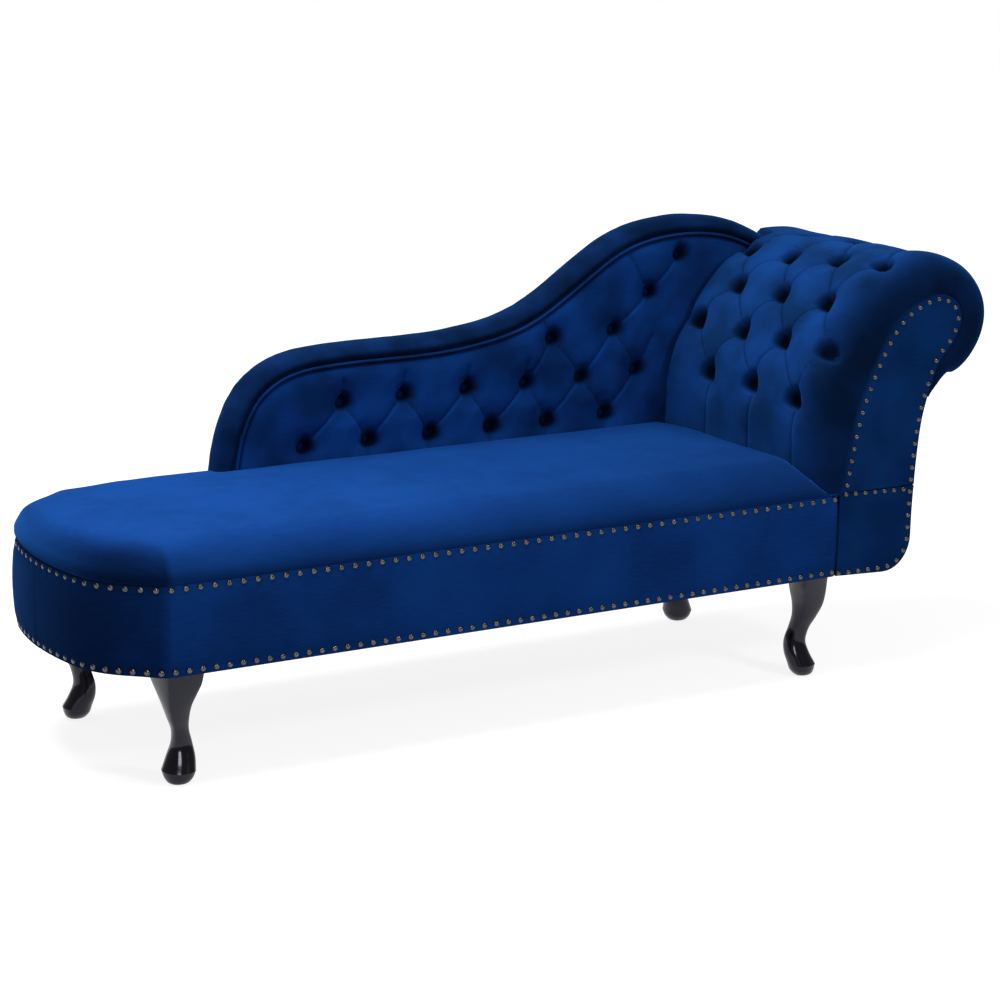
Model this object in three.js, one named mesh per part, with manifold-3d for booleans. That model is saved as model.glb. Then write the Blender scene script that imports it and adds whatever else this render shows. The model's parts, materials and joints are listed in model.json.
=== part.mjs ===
// A fainting couch: a bowed foot end, a tufted scroll arm at the head, a serpentine back and cabriole legs.
// Millimetres, +Z up. +X runs from the foot to the head, and the sitter's side faces -Y.
import * as THREE from 'three';
import { mergeVertices } from 'three/addons/utils/BufferGeometryUtils.js';
import Module from 'manifold-3d';

const wasm = await Module();
wasm.setup();

const DEGREE = Math.PI / 180;
const BOLT_SIDES = 12;
const LEG_SIDES = 16;
const SCROLL_STEPS = 40;
const CREST_STEPS = 46;

// Driving dimensions
const couchDepth = 489;
const seatRun = 1402;
const legHeight = 190;
const baseHeight = 148;
const seatPadHeight = 66;
const armWidth = 166;
const scrollOverhang = 92;
const scrollHeight = 493;
const armPadThickness = 106;
const crestOverScroll = 95;

// Fits and thicknesses shared by several pieces
const clearance = 0.3;
const coverThickness = 6;
const railThickness = 22;
const railHeight = 137;
const frameFoot = 3;
const cutOverrun = 2;

// Bowed foot end, from its apex to the front corner. Both radii follow the couch's depth.
const endBowShare = 1.145;
const endBowAngle = 12.5 * DEGREE;
const shoulderShare = 0.307;
const shoulderAngle = 37.5 * DEGREE;
const cornerRadius = 30;

// Covers and dust cover
const coverBulge = 3.5;
const nailMargin = 8;
const dustCoverThickness = 1.5;

// Legs
const footLegSetback = 26;
const footRearLegSetback = 6;
const footRearLegInsetY = 57;
const legInsetY = 43;
const headLegSetback = 28;
const kneeWidth = 86;
const kneeDepth = 70;
const legBoltRadius = 4;
const legBoltInLeg = 38;
const legBoltInBlock = 32;
const boltClearance = 0.35;
const glideRadius = 9;
const glideThickness = 4;
const glideEdge = 0.8;
const glidePinRadius = 1.6;
const glidePinLength = 13;
const legBlockLength = 96;
const legBlockHeight = 46;
const legBlockReach = 62;

// Seat suspension
const springBattenWidth = 20;
const springBattenHeight = 30;
const springCount = 6;
const springWireRadius = 1.7;
const springHalfWidth = 24;
const springCycles = 6;
const springMargin = 130;
const seatDeckThickness = 3;
const crossRailHeight = 70;
const crossRailShares = [0.34, 0.66];

// Seat pad
const seatEdgeRadius = 58;
const seatCrown = 5;
const seatProud = 1.5;
const seatSideGap = 4;

// Scroll arm
const armFrontRound = 55;
const armCornerRadius = 50;
const armRailWidth = 24;
const armRailHeight = 46;
const armPanelThickness = 4;
const armPadRearGap = 2;
const armTuftDepth = 26;
const armTuftPitch = 129;
const armBoltRadius = 4;
const armBoltHeadRadius = 9;
const armBoltHeadHeight = 3;
const armBoltLength = 64;

// Back
const backFootX = 402;
const backArmLap = 139;
const backBorderWidth = 28;
const backBorderFront = 58;
const backBorderRear = 6;
const backPadFront = 64;
const backPadEdge = 23;
const backTuftDepth = 20;
const backWeltRadius = 3.5;
const backWeltInset = 32;
const backBracketWidth = 34;
const backBracketHeight = 95;
const backBracketThickness = 3;
const backBracketBays = [1, 3, 4];
const backTuftPitch = 122;
const backTuftRise = 75;
const backButtonRise = 154;

// Heights and places that follow
const coverTop = legHeight + baseHeight;
const frameBottom = legHeight + frameFoot;
const frameTop = frameBottom + railHeight;
const railFace = coverThickness + clearance;
const railBack = railFace + railThickness;
const backFace = couchDepth - railBack;
const midDepth = couchDepth / 2;
const padFloor = coverTop + clearance;
const seatTop = coverTop + seatPadHeight;
const armBottom = legHeight;
const scrollReach = armWidth + scrollOverhang;
const backEndX = seatRun + backArmLap;
const backRise = legHeight + scrollHeight + crestOverScroll - coverTop;

const velvet = new THREE.MeshStandardMaterial({ color: 0x0f3a7c, roughness: 0.85 });
const darkVelvet = new THREE.MeshStandardMaterial({ color: 0x0a2450, roughness: 0.88 });
const lacquer = new THREE.MeshStandardMaterial({ color: 0x0c0b10, roughness: 0.22 });
const timber = new THREE.MeshStandardMaterial({ color: 0xb98d5a, roughness: 0.7 });
const steel = new THREE.MeshStandardMaterial({ color: 0x8d9196, roughness: 0.35, metalness: 1 });
const cambric = new THREE.MeshStandardMaterial({ color: 0x17171a, roughness: 0.95 });
const nylon = new THREE.MeshStandardMaterial({ color: 0x2a2a2c, roughness: 0.5 });

const couch = new THREE.Group();

function addPiece(name, geometry, material) {
  const mesh = new THREE.Mesh(geometry, material);
  mesh.name = name;
  couch.add(mesh);
  return mesh;
}

function point(x, y) {
  return new THREE.Vector2(x, y);
}

// Outlines run clockwise, so that their outer side is on the left of the way they run.
function outwardNormals(outline, closed = false) {
  const last = outline.length - 1;
  return outline.map((here, i) => {
    const before = i > 0 ? outline[i - 1] : closed ? outline[last] : null;
    const after = i < last ? outline[i + 1] : closed ? outline[0] : null;
    const arriving = (before ? here.clone().sub(before) : after.clone().sub(here)).normalize();
    const leaving = (after ? after.clone().sub(here) : arriving.clone()).normalize();
    const mean = arriving.clone().add(leaving).normalize();
    const mitre = 1 / Math.max(mean.dot(leaving), 0.3);
    return point(-mean.y, mean.x).multiplyScalar(mitre);
  });
}

function offsetOutline(outline, distance, closed = false) {
  const normals = outwardNormals(outline, closed);
  return outline.map((here, i) => here.clone().addScaledVector(normals[i], distance));
}

// The faces that fill a loop of points in space, wound the way the loop runs.
function loopFaces(loop) {
  const normal = new THREE.Vector3();
  loop.forEach((here, i) => {
    const next = loop[(i + 1) % loop.length];
    normal.x += (here.y - next.y) * (here.z + next.z);
    normal.y += (here.z - next.z) * (here.x + next.x);
    normal.z += (here.x - next.x) * (here.y + next.y);
  });
  normal.normalize();
  const across = Math.abs(normal.x) < 0.9 ? new THREE.Vector3(1, 0, 0) : new THREE.Vector3(0, 1, 0);
  across.cross(normal).normalize();
  const along = normal.clone().cross(across);
  const flat = loop.map((here) => point(here.dot(across), here.dot(along)));
  const faces = THREE.ShapeUtils.triangulateShape(flat, []);
  const turned = faces.length > 0 && THREE.ShapeUtils.area(faces[0].map((k) => flat[k])) < 0;
  return faces.map(([a, b, c]) => (turned ? [a, c, b] : [a, b, c]));
}

// A closed body from its vertices and faces, turned so that its faces point out.
function bodyFrom(vertices, faces) {
  const volume = faces.reduce((sum, [a, b, c]) => {
    return sum + vertices[a].dot(vertices[b].clone().cross(vertices[c]));
  }, 0);
  const turned = volume < 0;
  const geometry = new THREE.BufferGeometry().setFromPoints(vertices);
  geometry.setIndex(faces.flatMap(([a, b, c]) => (turned ? [a, c, b] : [a, b, c])));
  geometry.computeVertexNormals();
  return geometry;
}

// Rings of equal count joined in turn, with the first and last ring filled.
function loftRings(rings) {
  const count = rings[0].length;
  const vertices = rings.flat();
  const faces = [];
  for (let i = 0; i + 1 < rings.length; i += 1) {
    for (let k = 0; k < count; k += 1) {
      const next = (k + 1) % count;
      const a = i * count + k;
      const b = i * count + next;
      faces.push([a, b, b + count], [a, b + count, a + count]);
    }
  }
  const lastRing = (rings.length - 1) * count;
  loopFaces(rings[0]).forEach(([a, b, c]) => faces.push([a, c, b]));
  loopFaces(rings.at(-1)).forEach(([a, b, c]) => faces.push([lastRing + a, lastRing + b, lastRing + c]));
  return bodyFrom(vertices, faces);
}

// Part of an outline, with the mitres of the whole. A small gap at each end keeps its joint to a neighbour.
function stretchOf(outline, from = 0, to = outline.length - 1, startGap = 0, endGap = 0) {
  const points = outline.slice(from, to + 1).map((here) => here.clone());
  const normals = outwardNormals(outline).slice(from, to + 1);
  const startStep = points[1].clone().sub(points[0]).setLength(startGap);
  const endStep = points.at(-2).clone().sub(points.at(-1)).setLength(endGap);
  points[0].add(startStep);
  points.at(-1).add(endStep);
  return { points, normals };
}

// A section of [outward, across] points carried along a stretch of an outline.
function sweepSection({ points, normals }, section, place) {
  return loftRings(points.map((here, i) => section.map(([outward, across]) => {
    const carried = here.clone().addScaledVector(normals[i], outward);
    return place(carried.x, carried.y, across);
  })));
}

const inPlan = (x, y, z) => new THREE.Vector3(x, y, z);
const inElevation = (x, z, y) => new THREE.Vector3(x, y, z);

function rectangleSection(outwardFrom, outwardTo, acrossFrom, acrossTo) {
  return [[outwardFrom, acrossFrom], [outwardTo, acrossFrom], [outwardTo, acrossTo], [outwardFrom, acrossTo]];
}

// A flat shape in plan, raised from one height to another.
function slab(outline, bottom, top) {
  const depth = top - bottom;
  const geometry = new THREE.ExtrudeGeometry(new THREE.Shape(outline), { depth, bevelEnabled: false });
  return geometry.translate(0, 0, bottom);
}

// A flat shape in elevation, carried from one depth to another.
function board(outline, front, rear) {
  const depth = rear - front;
  const geometry = new THREE.ExtrudeGeometry(new THREE.Shape(outline), { depth, bevelEnabled: false });
  return geometry.rotateX(90 * DEGREE).translate(0, rear, 0);
}

function block(from, to) {
  const geometry = new THREE.BoxGeometry(to.x - from.x, to.y - from.y, to.z - from.z);
  return geometry.translate((from.x + to.x) / 2, (from.y + to.y) / 2, (from.z + to.z) / 2);
}

function corner(x, y, z) {
  return new THREE.Vector3(x, y, z);
}

function toSolid(geometry) {
  const bare = geometry.clone();
  bare.deleteAttribute('normal');
  bare.deleteAttribute('uv');
  const merged = mergeVertices(bare, 1e-4);
  return new wasm.Manifold(new wasm.Mesh({
    numProp: 3,
    vertProperties: merged.attributes.position.array,
    triVerts: new Uint32Array(merged.index.array),
  }));
}

function cutFrom(geometry, cutters) {
  const solid = cutters.reduce((left, cutter) => left.subtract(toSolid(cutter)), toSolid(geometry));
  const mesh = solid.getMesh();
  const result = new THREE.BufferGeometry();
  result.setAttribute('position', new THREE.BufferAttribute(new Float32Array(mesh.vertProperties), 3));
  result.setIndex(new THREE.BufferAttribute(new Uint32Array(mesh.triVerts), 1));
  result.computeVertexNormals();
  return result;
}

function uprightRod(x, y, radius, bottom, top) {
  const geometry = new THREE.CylinderGeometry(radius, radius, top - bottom, BOLT_SIDES);
  return geometry.rotateX(90 * DEGREE).translate(x, y, (bottom + top) / 2);
}

// Base outline, from the arm seam along the front, round the foot and back along the rear
function footHalf() {
  const endBowRadius = couchDepth * endBowShare;
  const shoulderRadius = couchDepth * shoulderShare;
  const cornerAngle = 90 * DEGREE - endBowAngle - shoulderAngle;
  const bowRise = endBowRadius * Math.sin(endBowAngle);
  const shoulderRise = shoulderRadius * (Math.sin(endBowAngle + shoulderAngle) - Math.sin(endBowAngle));
  const cornerRise = cornerRadius * (1 - Math.cos(cornerAngle));
  const straight = (midDepth - bowRise - shoulderRise - cornerRise) / Math.sin(cornerAngle);
  const steps = [
    { radius: endBowRadius, turn: endBowAngle, count: 3 },
    { radius: shoulderRadius, turn: shoulderAngle, count: 5 },
    { length: straight },
    { radius: cornerRadius, turn: cornerAngle, count: 3 },
  ];
  const outline = [point(0, midDepth)];
  let heading = 0;
  const ends = [0];
  steps.forEach(({ radius, turn, count, length }) => {
    const start = outline.at(-1);
    if (length) {
      outline.push(point(start.x + length * Math.sin(heading), start.y - length * Math.cos(heading)));
    } else {
      for (let k = 1; k <= count; k += 1) {
        const angle = heading + (turn * k) / count;
        outline.push(point(
          start.x + radius * (Math.cos(heading) - Math.cos(angle)),
          start.y - radius * (Math.sin(angle) - Math.sin(heading)),
        ));
      }
      heading += turn;
    }
    ends.push(outline.length - 1);
  });
  return { outline, ends };
}

const foot = footHalf();
const footRear = foot.outline.map((here) => point(here.x, couchDepth - here.y));
const footOutline = [...foot.outline.slice(1).reverse(), ...footRear];
const footLength = foot.outline.at(-1).x;
const baseOutline = [point(seatRun, 0), ...footOutline, point(seatRun, couchDepth)];
const apexAt = foot.outline.length;
const frontEnd = 1;
const rearStart = 2 * apexAt - 1;
const rearEnd = 2 * apexAt;

// Base covers: velvet over the rails, drawn in at the two nail rows
function buildBaseCovers() {
  const section = [
    [-coverThickness, legHeight],
    [0, legHeight],
    [0, legHeight + nailMargin],
    [coverBulge, legHeight + baseHeight / 3],
    [coverBulge, legHeight + (baseHeight * 2) / 3],
    [0, coverTop - nailMargin],
    [0, coverTop],
    [-coverThickness, coverTop],
  ];
  const cover = (name, from, to, material) => {
    const stretch = stretchOf(baseOutline, from, to, clearance, clearance);
    addPiece(name, sweepSection(stretch, section, inPlan), material);
  };
  cover('base_cover_front', 0, frontEnd, velvet);
  cover('base_cover_foot', frontEnd, rearStart, darkVelvet);
  cover('base_cover_rear', rearStart, rearEnd, darkVelvet);
}

// Base frame: straight rails, a foot bow in three pieces, and rails across
function buildBaseFrame() {
  const section = rectangleSection(-railBack, -railFace, frameBottom, frameTop);
  const bowEnd = foot.ends[1];
  const rail = (name, from, to) => {
    const stretch = stretchOf(baseOutline, from, to, clearance, clearance);
    addPiece(name, sweepSection(stretch, section, inPlan), timber);
  };
  rail('front_rail', 0, frontEnd);
  rail('foot_corner_front', frontEnd, apexAt - bowEnd);
  rail('foot_bow_rail', apexAt - bowEnd, apexAt + bowEnd);
  rail('foot_corner_rear', apexAt + bowEnd, rearStart);
  rail('rear_rail', rearStart, rearEnd);
  crossRailShares.forEach((share, i) => {
    const x = seatRun * share;
    addPiece(`cross_rail_${i + 1}`, block(
      corner(x - railThickness / 2, railBack + clearance, frameBottom),
      corner(x + railThickness / 2, backFace - clearance, frameBottom + crossRailHeight),
    ), timber);
  });
  addPiece('head_cross_rail', block(
    corner(seatRun - railThickness - clearance, railBack + clearance, frameBottom),
    corner(seatRun - clearance, backFace - clearance, frameTop),
  ), timber);
}

const legPlaces = [
  { name: 'foot_front', x: footLength + footLegSetback, y: legInsetY, turn: 225 },
  { name: 'foot_rear', x: footLength + footRearLegSetback, y: couchDepth - footRearLegInsetY, turn: 135 },
  { name: 'head_front', x: seatRun - headLegSetback, y: legInsetY, turn: 315 },
  { name: 'head_rear', x: seatRun - headLegSetback, y: couchDepth - legInsetY, turn: 45 },
];

// Cabriole leg, sawn from a square post whose corner points the way the toe does:
// [height share, outward share, width share, depth share, squareness share], widths in shares of the knee's
const legShares = [
  [1.000, -0.05, 1.03, 1.02, 1.7],
  [0.910, -0.05, 0.96, 0.99, 1.7],
  [0.810, -0.04, 0.83, 0.92, 1.6],
  [0.695, -0.04, 0.60, 0.79, 1.5],
  [0.575, -0.11, 0.45, 0.63, 1.4],
  [0.450, -0.24, 0.35, 0.53, 1.3],
  [0.333, -0.32, 0.41, 0.56, 1.2],
  [0.211, -0.26, 0.56, 0.66, 1.1],
  [0.105, -0.13, 0.66, 0.72, 1.1],
  [0.055, -0.12, 0.58, 0.63, 1.1],
  [0.014, -0.10, 0.48, 0.50, 1.1],
  [0.000, -0.10, 0.42, 0.43, 1.1],
];

function legGeometry() {
  const length = legHeight - glideThickness - clearance * 2;
  const rings = legShares.map(([height, outward, width, depth, power]) => {
    return Array.from({ length: LEG_SIDES }, (_, k) => {
      const angle = (2 * Math.PI * k) / LEG_SIDES;
      const c = Math.cos(angle);
      const s = Math.sin(angle);
      return new THREE.Vector3(
        kneeDepth * (outward + (depth / 2) * Math.sign(c) * Math.abs(c) ** power),
        kneeWidth * (width / 2) * Math.sign(s) * Math.abs(s) ** power,
        glideThickness + clearance + length * height,
      );
    });
  });
  const soleShift = kneeDepth * legShares.at(-1)[1];
  const top = glideThickness + clearance + length;
  return cutFrom(loftRings(rings), [
    uprightRod(0, 0, legBoltRadius + boltClearance, top - legBoltInLeg - cutOverrun, top + cutOverrun),
    uprightRod(soleShift, 0, glidePinRadius + boltClearance, 0, glideThickness + glidePinLength + cutOverrun),
  ]);
}

function glideGeometry() {
  const profile = [
    point(0, 0),
    point(glideRadius - glideEdge, 0),
    point(glideRadius, glideEdge),
    point(glideRadius, glideThickness),
    point(glidePinRadius, glideThickness),
    point(glidePinRadius, glideThickness + glidePinLength),
    point(0, glideThickness + glidePinLength),
  ];
  const geometry = new THREE.LatheGeometry(profile, BOLT_SIDES).rotateX(90 * DEGREE);
  return geometry.translate(kneeDepth * legShares.at(-1)[1], 0, 0);
}

function buildLegs() {
  const leg = legGeometry();
  const glide = glideGeometry();
  const blockTop = frameBottom + legBlockHeight;
  const blockEnd = seatRun - railThickness - clearance * 2;
  const cutBottom = frameBottom - cutOverrun;
  const cutTop = blockTop + cutOverrun;
  const railSide = sweepSection(stretchOf(baseOutline),
    rectangleSection(-railBack - clearance, legBlockLength, cutBottom, cutTop), inPlan);
  legPlaces.forEach(({ name, x, y, turn }) => {
    const stand = new THREE.Group();
    stand.position.set(x, y, 0);
    stand.rotation.z = turn * DEGREE;
    const legMesh = addPiece(`leg_${name}`, leg, lacquer);
    const glideMesh = addPiece(`glide_${name}`, glide, nylon);
    stand.add(legMesh, glideMesh);
    couch.add(stand);
    addPiece(`leg_bolt_${name}`,
      uprightRod(x, y, legBoltRadius, legHeight - legBoltInLeg, frameBottom + legBoltInBlock), steel);
    const front = y < midDepth;
    const yFrom = front ? railBack + clearance : backFace - clearance - legBlockReach;
    const body = block(
      corner(x - legBlockLength / 2, yFrom, frameBottom),
      corner(Math.min(x + legBlockLength / 2, blockEnd), yFrom + legBlockReach, blockTop),
    );
    const boreTop = frameBottom + legBoltInBlock + cutOverrun;
    const bore = uprightRod(x, y, legBoltRadius + boltClearance, cutBottom, boreTop);
    addPiece(`leg_block_${name}`, cutFrom(body, [railSide, bore]), timber);
  });
}

function buildDustCover() {
  const outline = offsetOutline(baseOutline, -railFace);
  outline[0].x = seatRun + armWidth - armCornerRadius - coverThickness / 2;
  outline.at(-1).x = outline[0].x;
  const bottom = legHeight + clearance * 2;
  const top = bottom + dustCoverThickness;
  const holes = legPlaces.map(({ x, y }) => {
    return uprightRod(x, y, legBoltRadius + boltClearance, bottom - cutOverrun, top + cutOverrun);
  });
  addPiece('dust_cover', cutFrom(slab(outline, bottom, top), holes), cambric);
}

// Sinuous springs, clipped down on a batten inside each long rail
function springGeometry(x, yFrom, yTo, z) {
  const stepsPerCycle = 6;
  const count = springCycles * stepsPerCycle;
  const points = Array.from({ length: count + 1 }, (_, k) => {
    const share = k / count;
    const swing = Math.sin(2 * Math.PI * springCycles * share);
    return new THREE.Vector3(x + springHalfWidth * swing, yFrom + (yTo - yFrom) * share, z);
  });
  const path = new THREE.CatmullRomCurve3(points);
  const sides = 5;
  const section = Array.from({ length: sides }, (_, k) => {
    const angle = (2 * Math.PI * k) / sides;
    return point(springWireRadius * Math.cos(angle), springWireRadius * Math.sin(angle));
  });
  return new THREE.ExtrudeGeometry(new THREE.Shape(section), {
    steps: count, extrudePath: path, bevelEnabled: false,
  });
}

const springFirst = footLength + springMargin;
const springPitch = (seatRun - springMargin - springFirst) / (springCount - 1);

function buildSuspension() {
  const battenFront = railBack + clearance;
  const battenRear = backFace - clearance - springBattenWidth;
  const battens = [['spring_batten_front', battenFront], ['spring_batten_rear', battenRear]];
  battens.forEach(([name, y]) => {
    addPiece(name, block(
      corner(footLength, y, frameTop - springBattenHeight),
      corner(seatRun - railThickness - clearance * 2, y + springBattenWidth, frameTop),
    ), timber);
  });
  for (let i = 0; i < springCount; i += 1) {
    const x = springFirst + springPitch * i;
    const yFrom = battenFront + springBattenWidth / 2;
    const yTo = battenRear + springBattenWidth / 2;
    addPiece(`seat_spring_${i + 1}`,
      springGeometry(x, yFrom, yTo, frameTop + clearance + springWireRadius), steel);
  }
  const deck = offsetOutline(baseOutline, -railFace);
  const deckRear = backFace - backBracketThickness - clearance * 2;
  const outline = deck.map(({ x, y }) => point(Math.min(x, seatRun - clearance), Math.min(y, deckRear)));
  addPiece('seat_deck', slab(outline, coverTop - seatDeckThickness, coverTop), cambric);
}

// Rounded edge: 0 at the edge and 1 once the radius is passed
function roundShare(distance, radius) {
  const left = 1 - Math.min(Math.max(distance / radius, 0), 1);
  return Math.sqrt(1 - left * left);
}

function distanceToSegment(p, a, b) {
  const along = b.clone().sub(a);
  const share = Math.min(Math.max(p.clone().sub(a).dot(along) / along.lengthSq(), 0), 1);
  return p.distanceTo(a.clone().addScaledVector(along, share));
}

function distanceToOutline(p, outline) {
  return outline.slice(1).reduce((least, here, i) => {
    return Math.min(least, distanceToSegment(p, outline[i], here));
  }, Infinity);
}

// Seat pad: one crowned pad, rounded over along the front, the foot and the open rear
const armFootX = seatRun + seatSideGap;
const armPadFootShare = 0.65;
const armPadFoot = armPadThickness * armPadFootShare;

function buildSeatPad() {
  const edge = offsetOutline(baseOutline, seatProud);
  const open = edge.slice(0, -1);
  const notchX = backFootX - clearance * 2;
  open.push(point(notchX, couchDepth + seatProud));
  const rearLimit = couchDepth - backPadFront - seatSideGap / 2;
  const armEdge = [0, 0.08, 0.22, 0.5, 1].map((share) => {
    const y = armFrontRound * share;
    return point(armFootX - armPadFoot * roundShare(y, armFrontRound) - seatSideGap, y);
  });
  const armSide = armEdge.at(-1).x;
  armEdge[0] = point(armFootX - seatSideGap, -seatProud);
  const spineFoot = footLength * 1.5;
  const spineHead = armSide - seatEdgeRadius * 1.5;
  const spineX = [0, 0.25, 0.5, 0.75, 1].map((share) => backFootX + (spineHead - backFootX) * share);
  const spine = [spineFoot, ...spineX].map((x) => point(x, midDepth));
  const outline = [];
  const add = (p, s) => outline.push({ p, s });
  const lastSpine = spine.length - 1;
  armEdge.slice().reverse().forEach((p) => add(p, lastSpine));
  for (let s = lastSpine - 1; s > 0; s -= 1) add(point(spine[s].x, -seatProud), s);
  edge.slice(1, -1).forEach((p) => add(p, 0));
  add(point(notchX, couchDepth + seatProud), 1);
  add(point(notchX, (couchDepth + rearLimit) / 2), 1);
  add(point(notchX, rearLimit), 1);
  for (let s = 2; s < lastSpine; s += 1) add(point(spine[s].x, rearLimit), s);
  add(point(armSide, rearLimit), lastSpine);
  add(point(armSide, (rearLimit + armFrontRound) / 2), lastSpine);

  const heightAt = (p) => {
    const distance = distanceToOutline(p, open);
    const crown = seatCrown * (1 - ((p.y - midDepth) / midDepth) ** 2);
    return seatTop - seatCrown + crown - seatEdgeRadius * (1 - roundShare(distance, seatEdgeRadius));
  };
  const edgeShares = [0, 0.05, 0.16, 0.36, 0.66, 1.1];
  const rings = [outline.map(({ p }) => new THREE.Vector3(p.x, p.y, padFloor))];
  edgeShares.forEach((share) => {
    rings.push(outline.map(({ p, s }) => {
      const inward = spine[s].clone().sub(p).setLength(seatEdgeRadius * share);
      const q = p.clone().add(share > 0 ? inward : point(0, 0));
      return new THREE.Vector3(q.x, q.y, Math.max(heightAt(q), padFloor + clearance));
    }));
  });
  const count = outline.length;
  const vertices = rings.flat();
  const spineStart = vertices.length;
  spine.forEach((p) => vertices.push(new THREE.Vector3(p.x, p.y, seatTop)));
  const faces = [];
  for (let i = 0; i + 1 < rings.length; i += 1) {
    for (let k = 0; k < count; k += 1) {
      const a = i * count + k;
      const b = i * count + ((k + 1) % count);
      faces.push([a, b, b + count], [a, b + count, a + count]);
    }
  }
  const top = (rings.length - 1) * count;
  for (let k = 0; k < count; k += 1) {
    const next = (k + 1) % count;
    const here = spineStart + outline[k].s;
    const there = spineStart + outline[next].s;
    faces.push([top + k, top + next, there]);
    if (here !== there) faces.push([top + k, there, here]);
  }
  loopFaces(rings[0]).forEach(([a, b, c]) => faces.push([a, c, b]));
  addPiece('seat_pad', bodyFrom(vertices, faces), velvet);
}

// Buttons and the pleats between them pull a pad in. Places are [along, across] on its face.
const pleatReach = 44;
const pleatShare = 0.62;
const buttonReach = 40;

function tuftPull(along, across, buttons, pleats) {
  const here = point(along, across);
  const dip = (distance, reach) => (1 - Math.min(distance / reach, 1)) ** 2;
  const atButton = buttons.reduce((most, b) => Math.max(most, dip(here.distanceTo(b), buttonReach)), 0);
  return pleats.reduce((most, [a, b]) => {
    return Math.max(most, pleatShare * dip(distanceToSegment(here, a, b), pleatReach));
  }, atButton);
}

function pleatsBetween(rows, reach) {
  return rows.slice(1).flatMap((row, i) => {
    return row.flatMap((b) => rows[i].filter((a) => a.distanceTo(b) < reach).map((a) => [a, b]));
  });
}

// A padded sheet: a grid of outer points over a narrow inner strip, closed at its sides and ends.
function paddedSheet(rows) {
  const columns = rows[0].outer.length;
  const stride = columns + 2;
  const vertices = rows.flatMap(({ outer, inner }) => [inner[0], ...outer, inner[1]]);
  const faces = [];
  for (let i = 0; i + 1 < rows.length; i += 1) {
    for (let k = 0; k < stride; k += 1) {
      const a = i * stride + k;
      const b = i * stride + ((k + 1) % stride);
      faces.push([a, b, b + stride], [a, b + stride, a + stride]);
    }
  }
  const last = (rows.length - 1) * stride;
  const loopAt = (start) => vertices.slice(start, start + stride);
  loopFaces(loopAt(0)).forEach(([a, b, c]) => faces.push([a, c, b]));
  loopFaces(loopAt(last)).forEach(([a, b, c]) => faces.push([last + a, last + b, last + c]));
  return bodyFrom(vertices, faces);
}

// Scroll of the arm, up its inner side, over the top and down its outer side:
// [reach share, height share, pad share], from the arm's seam and its underside
const scrollShares = [
  [0.012, 0.225, 0.64],
  [0.020, 0.302, 0.65],
  [0.058, 0.426, 0.79],
  [0.151, 0.631, 1.00],
  [0.374, 0.870, 0.92],
  [0.508, 0.945, 0.84],
  [0.690, 0.990, 0.73],
  [0.806, 1.000, 0.62],
  [0.946, 0.966, 0.61],
  [1.000, 0.899, 0.69],
  [0.942, 0.822, 0.68],
  [0.826, 0.754, 0.52],
  [0.760, 0.667, 0.22],
  [0.731, 0.625, 0.03],
];

// Outer side of the arm below the scroll: [share of the arm's width, height share]
const outerSideShares = [
  [1.079, 0.550],
  [1.037, 0.436],
  [1.003, 0.233],
];

function scrollPlace([reach, height]) {
  return point(seatRun + scrollReach * reach, armBottom + scrollHeight * height);
}

function outerSidePlace([width, height]) {
  return point(seatRun + armWidth * width, armBottom + scrollHeight * height);
}

function buildScrollOutline() {
  const padded = scrollShares.map((row) => {
    const p = scrollPlace(row);
    return new THREE.Vector3(p.x, p.y, armPadThickness * row[2]);
  });
  const curve = new THREE.CatmullRomCurve3(padded, false, 'centripetal');
  const samples = curve.getSpacedPoints(SCROLL_STEPS).filter((p) => p.y > coverTop);
  samples[0].y = padFloor;
  return samples;
}

const scroll = buildScrollOutline();
const scrollLine = scroll.map((p) => point(p.x, p.y));
const armOuterX = seatRun + armWidth;

function armOutline() {
  const outer = outerSideShares.map(outerSidePlace);
  const centre = point(armOuterX - armCornerRadius, armBottom + armCornerRadius);
  const rounded = [0, 1, 2, 3, 4].map((k) => {
    const angle = (k / 4) * 90 * DEGREE;
    return point(centre.x + armCornerRadius * Math.cos(angle), centre.y - armCornerRadius * Math.sin(angle));
  });
  return [
    point(seatRun + clearance, armBottom),
    point(seatRun + clearance, coverTop - nailMargin),
    ...scrollLine,
    ...outer,
    ...rounded,
  ];
}

const armFace = armOutline();

// Places on the outer face of the arm pad, and how far along that face they lie
function armPadRows() {
  const normals = outwardNormals(scrollLine);
  let along = 0;
  let before = null;
  return scroll.map((p, i) => {
    const base = scrollLine[i].clone().addScaledVector(normals[i].clone().normalize(), clearance);
    const out = i === 0 ? point(-1, 0) : normals[i].clone().normalize();
    const face = base.clone().addScaledVector(out, p.z);
    if (before) along += face.distanceTo(before);
    before = face;
    return { base, out, thickness: p.z, face, along };
  });
}

const armRowShares = [0.168, 0.278, 0.371, 0.467, 0.559];
const armDepthShares = [[0.52, 1.53, 2.53], [0.3, 1.06, 2.06, 3.05]];

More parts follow.
